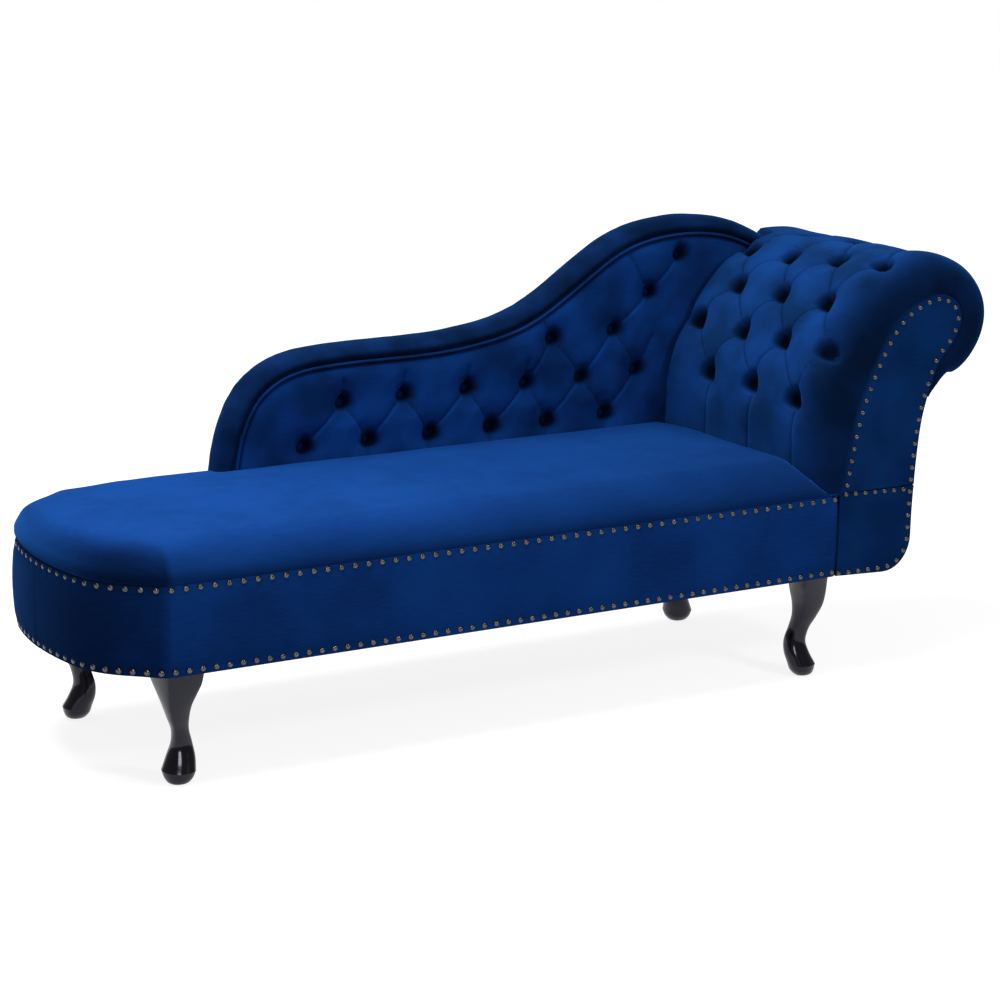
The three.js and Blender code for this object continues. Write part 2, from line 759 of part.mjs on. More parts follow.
function buildArmPad() {
  const rows = armPadRows();
  const run = rows.at(-1).along;
  const buttonRows = armRowShares.map((share, i) => {
    return armDepthShares[i % 2].map((step) => point(run * share, armTuftPitch * step));
  });
  const pleats = pleatsBetween(buttonRows, armTuftPitch);
  buttonRows[0].forEach((b) => pleats.push([b, point(0, b.y)]));
  const buttons = buttonRows.flat();
  const frontShares = [0, 0.03, 0.12, 0.3, 0.6];
  const shortEnd = couchDepth - backPadFront - armPadRearGap;
  const middleCount = 15;
  const sheet = rows.map(({ base, out, thickness, face, along }) => {
    const full = Math.min(base.x, face.x) > backEndX + clearance;
    const end = full ? couchDepth : shortEnd;
    const rearRound = full ? armFrontRound : seatEdgeRadius / 4;
    const depths = frontShares.map((share) => armFrontRound * share);
    const middleEnd = end - rearRound;
    for (let k = 0; k <= middleCount; k += 1) {
      depths.push(armFrontRound + ((middleEnd - armFrontRound) * k) / middleCount);
    }
    frontShares.slice().reverse().forEach((share) => depths.push(end - rearRound * share));
    const outer = depths.map((y) => {
      const round = Math.min(roundShare(y, armFrontRound), roundShare(end - y, rearRound));
      const pull = Math.min(armTuftDepth, thickness * 0.4) * tuftPull(along, y, buttons, pleats);
      const height = Math.max(thickness * round - pull * round, clearance);
      const at = base.clone().addScaledVector(out, height);
      return new THREE.Vector3(at.x, y, at.y);
    });
    const inner = [new THREE.Vector3(base.x, 0, base.y), new THREE.Vector3(base.x, end, base.y)];
    return { outer, inner };
  });
  addPiece('arm_pad', paddedSheet(sheet), velvet);
}

// A rail of the arm, laid just inside the scroll at one place along it
function scrollRail(name, share, width, height, front, rear) {
  const at = Math.round(share * (scrollLine.length - 1));
  const outward = outwardNormals(scrollLine)[at].normalize();
  const along = point(outward.y, -outward.x);
  const outerFace = coverThickness + clearance * 5;
  const centre = scrollLine[at].clone().addScaledVector(outward, -outerFace - width / 2);
  const outline = [[-1, -1], [1, -1], [1, 1], [-1, 1]].map(([o, a]) => {
    return centre.clone().addScaledVector(outward, (o * width) / 2).addScaledVector(along, (a * height) / 2);
  });
  addPiece(name, board(outline, front, rear), timber);
}

function buildArmFrame() {
  const boardOutline = offsetOutline(armFace, -coverThickness, true);
  const frontBoard = board(boardOutline, railFace, railBack);
  const rearBoard = board(boardOutline, couchDepth - railBack, couchDepth - railFace);
  const between = [railBack + clearance, couchDepth - railBack - clearance];
  const sillX = boardOutline[0].x;
  const boltZ = frameBottom + railHeight / 2;
  const boltX = sillX + armRailWidth / 2;
  const bore = (y) => {
    const rod = new THREE.CylinderGeometry(armBoltRadius + boltClearance, armBoltRadius + boltClearance,
      armBoltLength * 2, BOLT_SIDES);
    return rod.translate(boltX, y, boltZ);
  };
  addPiece('arm_front_board', cutFrom(frontBoard, [bore(railFace)]), timber);
  addPiece('arm_rear_board', cutFrom(rearBoard, [bore(couchDepth - railFace)]), timber);
  const sill = block(
    corner(sillX, between[0], frameBottom + frameFoot),
    corner(sillX + armRailWidth, between[1], frameTop),
  );
  addPiece('arm_sill_rail', cutFrom(sill, [bore(railFace), bore(couchDepth - railFace)]), timber);
  [['arm_bolt_front', 1], ['arm_bolt_rear', -1]].forEach(([name, way]) => {
    const profile = [
      point(0, 0),
      point(armBoltHeadRadius, 0),
      point(armBoltHeadRadius, armBoltHeadHeight),
      point(armBoltRadius, armBoltHeadHeight),
      point(armBoltRadius, armBoltLength),
      point(0, armBoltLength),
    ];
    const bolt = new THREE.LatheGeometry(profile, BOLT_SIDES);
    const headFace = railFace - clearance - armBoltHeadHeight;
    if (way < 0) bolt.rotateX(180 * DEGREE);
    addPiece(name, bolt.translate(boltX, way > 0 ? headFace : couchDepth - headFace, boltZ), steel);
  });
  addPiece('arm_outer_rail', block(
    corner(armOuterX - coverThickness * 2 - armRailWidth, between[0], frameBottom + armCornerRadius),
    corner(armOuterX - coverThickness * 2, between[1], frameBottom + armCornerRadius + armRailHeight),
  ), timber);
  scrollRail('arm_seat_rail', 0.12, armRailWidth, armRailHeight, ...between);
  scrollRail('arm_top_rail', 0.5, armRailWidth, armRailHeight / 2, ...between);
  scrollRail('arm_tip_rail', 0.72, armRailWidth, armRailHeight / 3, ...between);
}

function buildArmCovers() {
  const boltX = offsetOutline(armFace, -coverThickness, true)[0].x + armRailWidth / 2;
  const pocket = (y) => {
    const radius = armBoltHeadRadius + boltClearance;
    const depth = armBoltHeadHeight + clearance * 2;
    const head = new THREE.CylinderGeometry(radius, radius, depth * 2, BOLT_SIDES);
    return head.translate(boltX, y, frameBottom + railHeight / 2);
  };
  const rearInside = couchDepth - coverThickness;
  const frontFacing = board(armFace, 0, coverThickness);
  const rearFacing = board(armFace, rearInside, couchDepth);
  addPiece('arm_front_facing', cutFrom(frontFacing, [pocket(coverThickness)]), velvet);
  addPiece('arm_rear_facing', cutFrom(rearFacing, [pocket(rearInside)]), darkVelvet);
  const across = [coverThickness + clearance, couchDepth - coverThickness - clearance];
  const panelEnd = Math.round(scrollLine.length * 0.8);
  const panel = scrollLine.slice(1, panelEnd);
  addPiece('arm_panel', sweepSection(stretchOf(panel),
    rectangleSection(-armPanelThickness - clearance, -clearance, ...across), inElevation), timber);
  const cornerPoints = armFace.slice(-5);
  const outerLine = [scrollLine.at(-1), ...outerSideShares.map(outerSidePlace), ...cornerPoints];
  addPiece('arm_outer_cover', sweepSection(stretchOf(outerLine),
    rectangleSection(-coverThickness + clearance, 0, ...across), inElevation), darkVelvet);
}

// Crest of the back, from the seat up the foot side and along the serpentine top:
// [run share, rise share] between the back's foot and its end, over the base covers
const crestShares = [
  [0.000, 0.000],
  [0.001, 0.128],
  [0.017, 0.314],
  [0.046, 0.450],
  [0.090, 0.534],
  [0.137, 0.570],
  [0.209, 0.584],
  [0.383, 0.592],
  [0.484, 0.628],
  [0.536, 0.671],
  [0.587, 0.747],
  [0.640, 0.838],
  [0.692, 0.922],
  [0.745, 0.973],
  [0.828, 1.000],
  [0.910, 0.983],
  [0.967, 0.935],
  [1.000, 0.890],
];

function crestLine() {
  const places = crestShares.map(([run, rise]) => new THREE.Vector3(
    backFootX + (backEndX - backFootX) * run,
    padFloor + backRise * rise,
    0,
  ));
  const curve = new THREE.CatmullRomCurve3(places, false, 'centripetal');
  return curve.getSpacedPoints(CREST_STEPS).map((p) => point(p.x, p.y));
}

const crest = crestLine();
const backPadRearY = backFace - backBracketThickness - clearance * 2;
const backPadEdgeY = backPadRearY - backPadEdge;
const borderFrontY = couchDepth - backBorderFront;
const borderRearY = couchDepth + backBorderRear;

function buildBackBorder() {
  const span = borderRearY - borderFrontY;
  const sectionShares = [
    [1.00, 0.00],
    [0.62, -0.05],
    [0.22, 0.10],
    [0.02, 0.34],
    [0.00, 0.58],
    [0.16, 0.84],
    [0.50, 0.98],
    [1.00, 1.00],
  ];
  const section = sectionShares.map(([inward, across]) => {
    return [-backBorderWidth * inward, borderFrontY + span * across];
  });
  addPiece('back_border', sweepSection(stretchOf(crest), section, inElevation), darkVelvet);
  const sides = 6;
  const weltY = backPadEdgeY - backWeltRadius - clearance * 4;
  const round = Array.from({ length: sides }, (_, k) => {
    const angle = (2 * Math.PI * k) / sides;
    return [
      -backWeltInset + backWeltRadius * Math.cos(angle),
      weltY + backWeltRadius * Math.sin(angle),
    ];
  });
  addPiece('back_welt', sweepSection(stretchOf(crest), round, inElevation), darkVelvet);
}

// The region inside the border, down to the base and across to the scroll of the arm
function backRegion(inset, armGap) {
  const top = offsetOutline(crest, -inset);
  const limit = offsetOutline([armFace[1], ...scrollLine], armGap);
  const kept = limit.filter((p) => p.x < backEndX - armGap && p.y < top.at(-1).y - inset).reverse();
  return [...top, ...kept, point(kept.at(-1).x, padFloor)];
}

function buildBackFrame() {
  const lowered = backRegion(backBorderWidth + clearance, clearance * 2);
  lowered[0].y = frameTop + clearance;
  lowered.at(-1).x = Math.min(lowered.at(-1).x, seatRun - clearance);
  lowered.at(-1).y = frameTop + clearance;
  const panelFront = backFace;
  const panelRear = couchDepth - railFace;
  addPiece('back_panel', board(lowered, panelFront, panelRear), timber);
  const cover = backRegion(backBorderWidth + clearance, clearance * 2);
  addPiece('back_outer_cover', board(cover, couchDepth - coverThickness, couchDepth), darkVelvet);
  const names = ['foot', 'middle', 'head'];
  const bracketFace = panelFront - clearance;
  const bracketFoot = frameTop + clearance;
  const bracketOutline = [
    point(bracketFace, bracketFoot),
    point(bracketFace, bracketFoot + backBracketHeight),
    point(bracketFace - backBracketThickness, bracketFoot + backBracketHeight),
    point(bracketFace - backBracketThickness, bracketFoot + backBracketThickness),
    point(bracketFace - springBattenWidth, bracketFoot + backBracketThickness),
    point(bracketFace - springBattenWidth, bracketFoot),
  ];
  backBracketBays.forEach((bay, i) => {
    const x = springFirst + springPitch * (bay + 0.5) - backBracketWidth / 2;
    const angle = slab(bracketOutline, 0, backBracketWidth).rotateX(90 * DEGREE).rotateZ(90 * DEGREE);
    addPiece(`back_bracket_${names[i]}`, angle.translate(x, 0, 0), steel);
  });
}

// Back pad: buttons in staggered rows, [column steps, row steps] from the first button of the middle row
const backButtonShares = [
  [[-0.62, -1], [0.42, -1], [1.42, -1], [2.43, -1], [3.42, -1], [4.43, -1]],
  [[0, 0], [1, 0], [2, 0], [3, 0], [4, 0], [5, 0]],
  [[3.5, 1], [4.5, 1]],
  [[5.2, 1.95]],
  [[5.75, 2.85]],
];
const backFirstButton = point(backFootX + backTuftPitch * 2, coverTop + backButtonRise);

function heightOn(line, x) {
  const i = line.findIndex((p, k) => k > 0 && line[k - 1].x <= x && p.x > x);
  if (i < 0) return x < line[0].x ? line[0].y : line.at(-1).y;
  const share = (x - line[i - 1].x) / (line[i].x - line[i - 1].x);
  return line[i - 1].y + (line[i].y - line[i - 1].y) * share;
}

function buildBackPad() {
  const rim = offsetOutline(crest, -backBorderWidth - clearance);
  const limit = offsetOutline(scrollLine, clearance * 3);
  const buttonRows = backButtonShares.map((row) => row.map(([column, step]) => point(
    backFirstButton.x + backTuftPitch * column,
    backFirstButton.y + backTuftRise * step,
  )));
  const buttons = buttonRows.flat();
  const pleats = pleatsBetween(buttonRows, backTuftPitch);
  const landWidth = backWeltInset - backBorderWidth + backWeltRadius + clearance;
  const faceY = couchDepth - backPadFront + clearance * 3;
  const armX = limit[0].x;
  const firstX = Math.max(...rim.slice(0, 4).map((p) => p.x)) + clearance;
  const endX = backEndX - backBorderWidth * 2;
  const stops = [
    firstX,
    firstX + landWidth,
    ...rim.filter((p) => p.x > firstX + landWidth && p.x < armX).map((p) => p.x),
    ...limit.filter((p) => p.x < endX).map((p) => p.x),
  ].sort((a, b) => a - b);
  const columns = stops.flatMap((x, i) => {
    const next = stops[i + 1] ?? x;
    const wide = next - x > backTuftPitch / 5 && x < armX;
    return wide ? [x, (x + next) / 2] : [x];
  });
  const rowCount = 12;
  const sheet = columns.map((x) => {
    const top = heightOn(rim, x) - clearance * 2;
    const bottom = x < armX ? padFloor : heightOn(limit, x);
    const outer = Array.from({ length: rowCount + 1 }, (_, k) => {
      const share = k / rowCount;
      const z = bottom + (top - bottom) * share;
      const inside = Math.max(distanceToOutline(point(x, z), rim) - landWidth, 0);
      const rise = roundShare(inside, pleatReach);
      const pull = backTuftDepth * tuftPull(x, z, buttons, pleats);
      return new THREE.Vector3(x, backPadEdgeY + (faceY - backPadEdgeY + pull) * rise, z);
    });
    const inner = [new THREE.Vector3(x, backPadRearY, bottom), new THREE.Vector3(x, backPadRearY, top)];
    return { outer, inner };
  });
  addPiece('back_pad', paddedSheet(sheet), velvet);
}

buildBaseCovers();
buildBaseFrame();
buildLegs();
buildDustCover();
buildSuspension();
buildSeatPad();
buildArmPad();
buildArmFrame();
buildArmCovers();
buildBackBorder();
buildBackFrame();
buildBackPad();

// The origin is on the floor under the middle of the couch
couch.updateMatrixWorld(true);
const reach = new THREE.Box3().setFromObject(couch, true);
const centre = reach.getCenter(new THREE.Vector3());
couch.position.set(-centre.x, -centre.y, -reach.min.z);

export default couch;
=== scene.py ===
"""A fainting couch: velvet upholstery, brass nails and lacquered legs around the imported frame."""
import json
import math

import bmesh
import bpy
import numpy as np
from mathutils import Matrix, Vector, noise


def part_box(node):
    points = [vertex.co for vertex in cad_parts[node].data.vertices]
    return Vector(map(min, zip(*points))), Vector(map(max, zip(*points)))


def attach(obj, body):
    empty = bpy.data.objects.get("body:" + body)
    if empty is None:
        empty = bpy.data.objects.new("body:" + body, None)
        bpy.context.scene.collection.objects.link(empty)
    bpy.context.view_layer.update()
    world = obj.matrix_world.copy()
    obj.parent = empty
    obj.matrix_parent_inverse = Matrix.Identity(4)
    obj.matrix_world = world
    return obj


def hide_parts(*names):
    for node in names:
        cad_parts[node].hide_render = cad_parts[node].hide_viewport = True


bl_info = {
    "name": "Fainting couch",
    "version": (1, 0, 0),
    "blender": (4, 5, 0),
    "location": "View3D > Sidebar > Couch",
    "description": "Upholsters a fainting couch around its packed frame",
    "category": "Add Mesh",
}

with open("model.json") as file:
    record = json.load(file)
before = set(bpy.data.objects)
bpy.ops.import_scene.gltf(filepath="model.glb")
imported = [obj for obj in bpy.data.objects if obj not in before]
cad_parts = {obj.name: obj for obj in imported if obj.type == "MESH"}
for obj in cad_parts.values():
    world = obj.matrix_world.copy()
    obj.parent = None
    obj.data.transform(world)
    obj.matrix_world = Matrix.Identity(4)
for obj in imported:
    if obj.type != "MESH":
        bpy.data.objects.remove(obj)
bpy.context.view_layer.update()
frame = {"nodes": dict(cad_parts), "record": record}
MM = 0.001
GAP = 0.3 * MM
# Points nearer than the first are one, and points nearer than the second lie on one plane
SAME_POINT = 0.01 * MM
SAME_PLANE = 0.05 * MM

# The couch's own frame: x from the apex of the bowed foot to the head, y from the front plane,
# z from the floor. Bare places in it are in metres
SEAT_RUN = 1402 * MM
SEAM_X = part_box("base_cover_front")[1].x + GAP
FRONT_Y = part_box("arm_front_facing")[0].y
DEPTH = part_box("arm_rear_facing")[1].y - FRONT_Y
MIDDLE = DEPTH / 2
ORIGIN = np.array((SEAM_X - SEAT_RUN, FRONT_Y, 0.0))
BASE_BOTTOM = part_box("base_cover_front")[0].z
BASE_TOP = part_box("base_cover_front")[1].z
SEAT_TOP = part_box("seat_pad")[1].z
SEAT_BOTTOM = BASE_TOP + GAP


# Lines


def spline(points, step):
    """Points on a centripetal curve through the given ones, evenly spaced by about step."""
    points = np.asarray(points, float)
    first = 2 * points[0] - points[1]
    last = 2 * points[-1] - points[-2]
    held = np.vstack((first, points, last))
    fine = []
    share = np.linspace(0, 1, 24, endpoint=False)[:, None]
    for a, b, c, d in zip(held, held[1:], held[2:], held[3:]):
        before = math.sqrt(np.linalg.norm(b - a))
        here = math.sqrt(np.linalg.norm(c - b))
        after = math.sqrt(np.linalg.norm(d - c))
        start = ((b - a) / before - (c - a) / (before + here) + (c - b) / here) * here
        end = ((c - b) / here - (d - b) / (here + after) + (d - c) / after) * here
        bend = 2 * b - 2 * c + start + end
        swing = -3 * b + 3 * c - 2 * start - end
        fine.append(b + start * share + swing * share**2 + bend * share**3)
    fine.append(points[-1:])
    return even(np.vstack(fine), step)


def lengths(line):
    """Distance along a line at each of its points."""
    steps = np.linalg.norm(np.diff(line, axis=0), axis=1)
    return np.concatenate(([0.0], np.cumsum(steps)))


def along_values(values, run, distances):
    """Values kept at the points of a line, read at these distances from its start."""
    return np.stack([np.interp(distances, run, values[:, k]) for k in range(values.shape[1])], axis=1)


def along(line, distances):
    """Places on a line at these distances from its start."""
    return along_values(line, lengths(line), distances)


def even(line, step):
    """The same line with evenly spaced points."""
    total = lengths(line)[-1]
    return along(line, np.linspace(0, total, max(int(round(total / step)), 2) + 1))


def outward(line, closed=False):
    """Unit normals on the left of a flat line."""
    if closed:
        tangent = np.roll(line, -1, axis=0) - np.roll(line, 1, axis=0)
    else:
        tangent = np.gradient(line, axis=0)
    tangent = tangent / np.linalg.norm(tangent, axis=1, keepdims=True)
    return np.stack((-tangent[:, 1], tangent[:, 0]), axis=1)


def eased(values, times):
    """Each value drawn towards its neighbours, with the ends held."""
    values = values.copy()
    for _ in range(times):
        values[1:-1] = (values[:-2] + 2 * values[1:-1] + values[2:]) / 4
    return values


def softened(outline, step, times):
    """A closed outline with evenly spaced points and its corners rounded a little."""
    line = even(np.vstack((outline, outline[:1])), step)[:-1]
    for _ in range(times):
        line = (np.roll(line, 1, axis=0) + 2 * line + np.roll(line, -1, axis=0)) / 4
    return line


def distance_to(places, start, end):
    """Distance of each place from the segment between start and end."""
    way = end - start
    share = np.clip(((places - start) @ way) / (way @ way), 0, 1)
    return np.linalg.norm(places - start - share[..., None] * way, axis=-1)


def distance_to_line(places, line):
    """Least distance of each place from a line."""
    least = np.full(places.shape[:-1], 1e9)
    for start, end in zip(line, line[1:]):
        least = np.minimum(least, distance_to(places, start, end))
    return least


def rounded(distance, radius, power=2.0):
    """0 at an edge and 1 once the radius is passed, round in between, flatter with a lower power."""
    left = 1 - np.clip(distance / radius, 0, 1)
    return (1 - left**power) ** (1 / power)


def ramp(values, start, span):
    """0 up to the start and 1 once the span is passed; a negative span runs the other way."""
    return np.clip((values - start) / span, 0, 1)


def fading(distance, reach):
    """1 where the distance is none, and 0 from the reach on."""
    return np.clip(1 - distance / reach, 0, 1)


def bell(values, centre, width):
    """1 at the centre, with a smooth fall to both sides."""
    return np.exp(-(((values - centre) / width) ** 2))


# Plan of the base: radii of the bowed end and its shoulders as shares of the depth, and their turns
END_BOW_SHARE = 1.145
SHOULDER_SHARE = 0.307
END_BOW_ANGLE = math.radians(12.5)
SHOULDER_ANGLE = math.radians(37.5)
CORNER_RADIUS = 30 * MM


def base_line(step):
    """Plan of the base, from the arm seam along the front, round the foot and back along the rear."""
    bow = DEPTH * END_BOW_SHARE
    shoulder = DEPTH * SHOULDER_SHARE
    turned = END_BOW_ANGLE + SHOULDER_ANGLE
    corner_turn = math.pi / 2 - turned
    rise = bow * math.sin(END_BOW_ANGLE) + shoulder * (math.sin(turned) - math.sin(END_BOW_ANGLE))
    rise += CORNER_RADIUS * (1 - math.cos(corner_turn))
    straight = (MIDDLE - rise) / math.sin(corner_turn)
    half = [np.array((0.0, MIDDLE))]
    heading = 0.0
    arcs = ((bow, END_BOW_ANGLE), (shoulder, SHOULDER_ANGLE), (0, 0), (CORNER_RADIUS, corner_turn))
    for radius, turn in arcs:
        start = half[-1]
        if radius == 0:
            half.append(start + straight * np.array((math.sin(heading), -math.cos(heading))))
            continue
        for angle in heading + turn * np.linspace(0, 1, 25)[1:]:
            swing = np.array((math.cos(heading) - math.cos(angle), math.sin(heading) - math.sin(angle)))
            half.append(start + radius * swing)
        heading += turn
    half = np.array(half)
    rear = half * (1, -1) + (0, DEPTH)
    seam_front = np.array(((SEAT_RUN, 0.0),))
    seam_rear = np.array(((SEAT_RUN, DEPTH),))
    return even(np.vstack((seam_front, half[:0:-1], rear, seam_rear)), step)


# Scroll of the arm: reach, height and pad, in shares as the frame has them
ARM_WIDTH = 166 * MM
SCROLL_REACH = 258 * MM
SCROLL_HEIGHT = 493 * MM
ARM_PAD = 106 * MM
SCROLL_SHARES = (
    (0.012, 0.225, 0.64),
    (0.020, 0.302, 0.65),
    (0.058, 0.426, 0.79),
    (0.151, 0.631, 1.00),
    (0.374, 0.870, 0.92),
    (0.508, 0.945, 0.84),
    (0.690, 0.990, 0.73),
    (0.806, 1.000, 0.62),
    (0.946, 0.966, 0.61),
    (1.000, 0.899, 0.69),
    (0.942, 0.822, 0.68),
    (0.826, 0.754, 0.52),
    (0.760, 0.667, 0.22),
    (0.731, 0.625, 0.03),
)
OUTER_SIDE_SHARES = ((1.079, 0.550), (1.037, 0.436), (1.003, 0.233))
ARM_CORNER = 50 * MM


def scroll_line(step):
    """Scroll as x, z and the pad's thickness there, from the base's top to the tip."""
    places = [
        (SEAT_RUN + SCROLL_REACH * reach, BASE_BOTTOM + SCROLL_HEIGHT * height, ARM_PAD * pad)
        for reach, height, pad in SCROLL_SHARES
    ]
    line = spline(places, step)
    line = line[line[:, 1] > BASE_TOP]
    line[0, 1] = BASE_TOP + GAP
    return line


# Arm's front: half the seam between panel and box, its height, and the box's corner and sag
FACING_SEAM = 0.1 * MM
FACING_SPLIT = BASE_TOP + 1.5 * MM
SPLIT_CLEAR = 3 * MM
BOX_CORNER = 61 * MM
BOX_SAG = 8 * MM


def sagged(x, z):
    """Height of the arm's box, which hangs a little lower towards its outer side."""
    share = np.clip((x - SEAT_RUN) / ARM_WIDTH, 0, 1)
    return z - BOX_SAG * share * fading(z - BASE_BOTTOM, BASE_TOP - BASE_BOTTOM)


def rounder(x, z):
    """Moves a point of the frame's lower outer corner to the same place of the cover's rounder one."""
    side = x - (SEAT_RUN + ARM_WIDTH - ARM_CORNER)
    down = BASE_BOTTOM + ARM_CORNER - z
    if side < 0 or down < 0:
        return x, z
    turn = math.atan2(down, side)
    radius = math.hypot(side, down) + BOX_CORNER - ARM_CORNER
    centre_x = SEAT_RUN + ARM_WIDTH - BOX_CORNER
    return centre_x + radius * math.cos(turn), BASE_BOTTOM + BOX_CORNER - radius * math.sin(turn)


def facing_lines():
    """Outlines of the arm's front, clockwise: the scrolled panel and the box below it."""
    scroll = scroll_line(8 * MM)[:, :2]
    side = [(SEAT_RUN + ARM_WIDTH * w, BASE_BOTTOM + SCROLL_HEIGHT * h) for w, h in OUTER_SIDE_SHARES]
    centre = np.array((SEAT_RUN + ARM_WIDTH - BOX_CORNER, BASE_BOTTOM + BOX_CORNER))
    turn = np.linspace(0, math.pi / 2, 12)
    corner = centre + BOX_CORNER * np.stack((np.cos(turn), -np.sin(turn)), axis=1)
    outer = spline(np.vstack((scroll[-1:], side, corner[:1])), 10 * MM)
    above = outer[outer[:, 1] > FACING_SPLIT + SPLIT_CLEAR]
    below = outer[outer[:, 1] < FACING_SPLIT - SPLIT_CLEAR]
    edge_x = above[-1, 0]
    panel = np.vstack((
        ((SEAT_RUN + GAP, FACING_SPLIT + FACING_SEAM),),
        scroll[scroll[:, 1] > FACING_SPLIT + SPLIT_CLEAR],
        above[1:],
        ((edge_x, FACING_SPLIT + FACING_SEAM),),
    ))
    box = np.vstack((
        ((SEAT_RUN + GAP, BASE_BOTTOM),),
        ((SEAT_RUN + GAP, FACING_SPLIT - FACING_SEAM),),
        ((edge_x, FACING_SPLIT - FACING_SEAM),),
        below[:-1],
        corner,
    ))
    box[:, 1] = sagged(box[:, 0], box[:, 1])
    return panel, box


# Serpentine crest of the back: run and rise in shares as the frame has them
BACK_FOOT_X = 402 * MM
BACK_END_X = 1541 * MM
BACK_RISE = 440 * MM
CREST_SHARES = (
    (0.000, 0.000),
    (0.001, 0.128),
    (0.017, 0.314),
    (0.046, 0.450),
    (0.090, 0.534),
    (0.137, 0.570),
    (0.209, 0.584),
    (0.383, 0.592),
    (0.484, 0.628),
    (0.536, 0.671),
    (0.587, 0.747),
    (0.640, 0.838),
    (0.692, 0.922),
    (0.745, 0.973),
    (0.828, 1.000),
    (0.910, 0.983),
    (0.967, 0.935),
    (1.000, 0.890),
)


def crest_line(step):
    """Crest as x and z, from the seat up the foot side and along the top."""
    run = BACK_END_X - BACK_FOOT_X
    places = [(BACK_FOOT_X + run * r, BASE_TOP + GAP + BACK_RISE * h) for r, h in CREST_SHARES]
    return eased(even(spline(places, step), step), 40)


# Mesh building


def skin(points, wrapped=False, capped=False, shade=None):
    """A bmesh of quads with corners at points[row, column], closed round and at its ends if asked."""
    if wrapped:
        points = np.concatenate((points, points[:, :1]), axis=1)
        shade = None if shade is None else np.concatenate((shade, shade[:, :1]), axis=1)
    rows, columns = points.shape[:2]
    mesh = bmesh.new()
    bmesh.ops.create_grid(mesh, x_segments=columns - 1, y_segments=rows - 1, size=0.5)
    layer = mesh.verts.layers.float.new("shade")
    placed = points + ORIGIN
    for vertex in mesh.verts:
        i = round((vertex.co.y + 0.5) * (rows - 1))
        j = round((vertex.co.x + 0.5) * (columns - 1))
        vertex.co = placed[i, j]
        if shade is not None:
            vertex[layer] = shade[i, j]
    bmesh.ops.remove_doubles(mesh, verts=mesh.verts, dist=SAME_POINT)
    if capped:
        edges = [e for e in mesh.edges if e.is_boundary]
        filled = bmesh.ops.holes_fill(mesh, edges=edges, sides=0)
        if capped != "whole":
            bmesh.ops.triangulate(mesh, faces=filled["faces"])
    bmesh.ops.recalc_face_normals(mesh, faces=mesh.faces)
    return mesh


def last_cap(mesh, axis, way):
    """The cap that faces furthest along an axis."""
    caps = [f for f in mesh.faces if len(f.verts) > 4]
    return max(caps, key=lambda f: f.calc_center_median()[axis] * way)


def gridded(mesh, cap, step, across):
    """Cuts a flat cap into squares along two axes, and lists the new vertices inside it."""
    rim = set(cap.verts)
    part = [cap]
    for axis in across:
        low = min(v.co[axis] for v in rim)
        high = max(v.co[axis] for v in rim)
        normal = [0, 0, 0]
        normal[axis] = 1
        for place in np.arange(low + step / 2, high, step):
            at = [0, 0, 0]
            at[axis] = place
            edges = list({e for f in part for e in f.edges})
            verts = list({v for f in part for v in f.verts})
            made = bmesh.ops.bisect_plane(
                mesh, geom=part + edges + verts, plane_co=at, plane_no=normal, dist=SAME_PLANE
            )
            part = [g for g in made["geom"] if isinstance(g, bmesh.types.BMFace)]
    inside = set()
    kept = set(part)
    for face in part:
        for vertex in face.verts:
            if vertex not in rim and all(f in kept for f in vertex.link_faces):
                inside.add(vertex)
    return list(inside)


def tube(line, normals, section, place):
    """Points of a section of (outward, across) pairs carried along a flat line."""
    carried = line[:, None, :] + normals[:, None, :] * section[None, :, :1]
    across = np.broadcast_to(section[None, :, 1:], (len(line), len(section), 1))
    return place(carried[..., 0], carried[..., 1], across[..., 0])


def in_plan(x, y, z):
    """Points of a line that is flat in plan, carried up."""
    return np.stack((x, y, z), axis=-1)


def in_elevation(x, z, y):
    """Points of a line that is flat in elevation, carried towards the rear."""
    return np.stack((x, y, z), axis=-1)


def stood(flat, y):
    """Points of x and z, stood up at a distance from the front."""
    return in_elevation(flat[..., 0], flat[..., 1], np.broadcast_to(y, flat.shape[:-1]))


def piece(name, mesh, material, stands_for=(), crease=None):
    """Makes the finished object of a bmesh, riding on the frame."""
    data = bpy.data.meshes.new(name)
    mesh.to_mesh(data)
    mesh.free()
    made = bpy.data.objects.new(name, data)
    bpy.context.scene.collection.objects.link(made)
    data.materials.append(material)
    data.shade_smooth()
    if crease is not None:
        data.set_sharp_from_angle(angle=crease)
    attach(made, "root")
    if stands_for:
        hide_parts(*stands_for)
    return made


def copied(node):
    """A merged copy of a frame node's mesh, with its flat faces whole."""
    mesh = bmesh.new()
    mesh.from_mesh(frame["nodes"][node].data)
    bmesh.ops.remove_doubles(mesh, verts=mesh.verts, dist=SAME_PLANE)
    bmesh.ops.dissolve_limit(mesh, angle_limit=math.radians(1), verts=mesh.verts, edges=mesh.edges)
    return mesh


def bevelled(mesh, degrees, width, segments):
    """Rounds the edges that turn by more than an angle."""
    limit = math.radians(degrees)
    sharp = [e for e in mesh.edges if len(e.link_faces) == 2 and e.calc_face_angle() > limit]
    bmesh.ops.bevel(
        mesh, geom=sharp, offset=width, segments=segments, profile=0.5, affect="EDGES", material=-1
    )


def drawn(places, scale, seed):
    """Smooth random values, about -1 to 1, at places in the couch's frame."""
    flat = places.reshape(-1, 3) / scale + seed
    values = [noise.noise(Vector(p)) for p in flat]
    return np.array(values).reshape(places.shape[:-1])


# Tufting: places are (up, across) pairs, and across grows away from the side that folds tightly


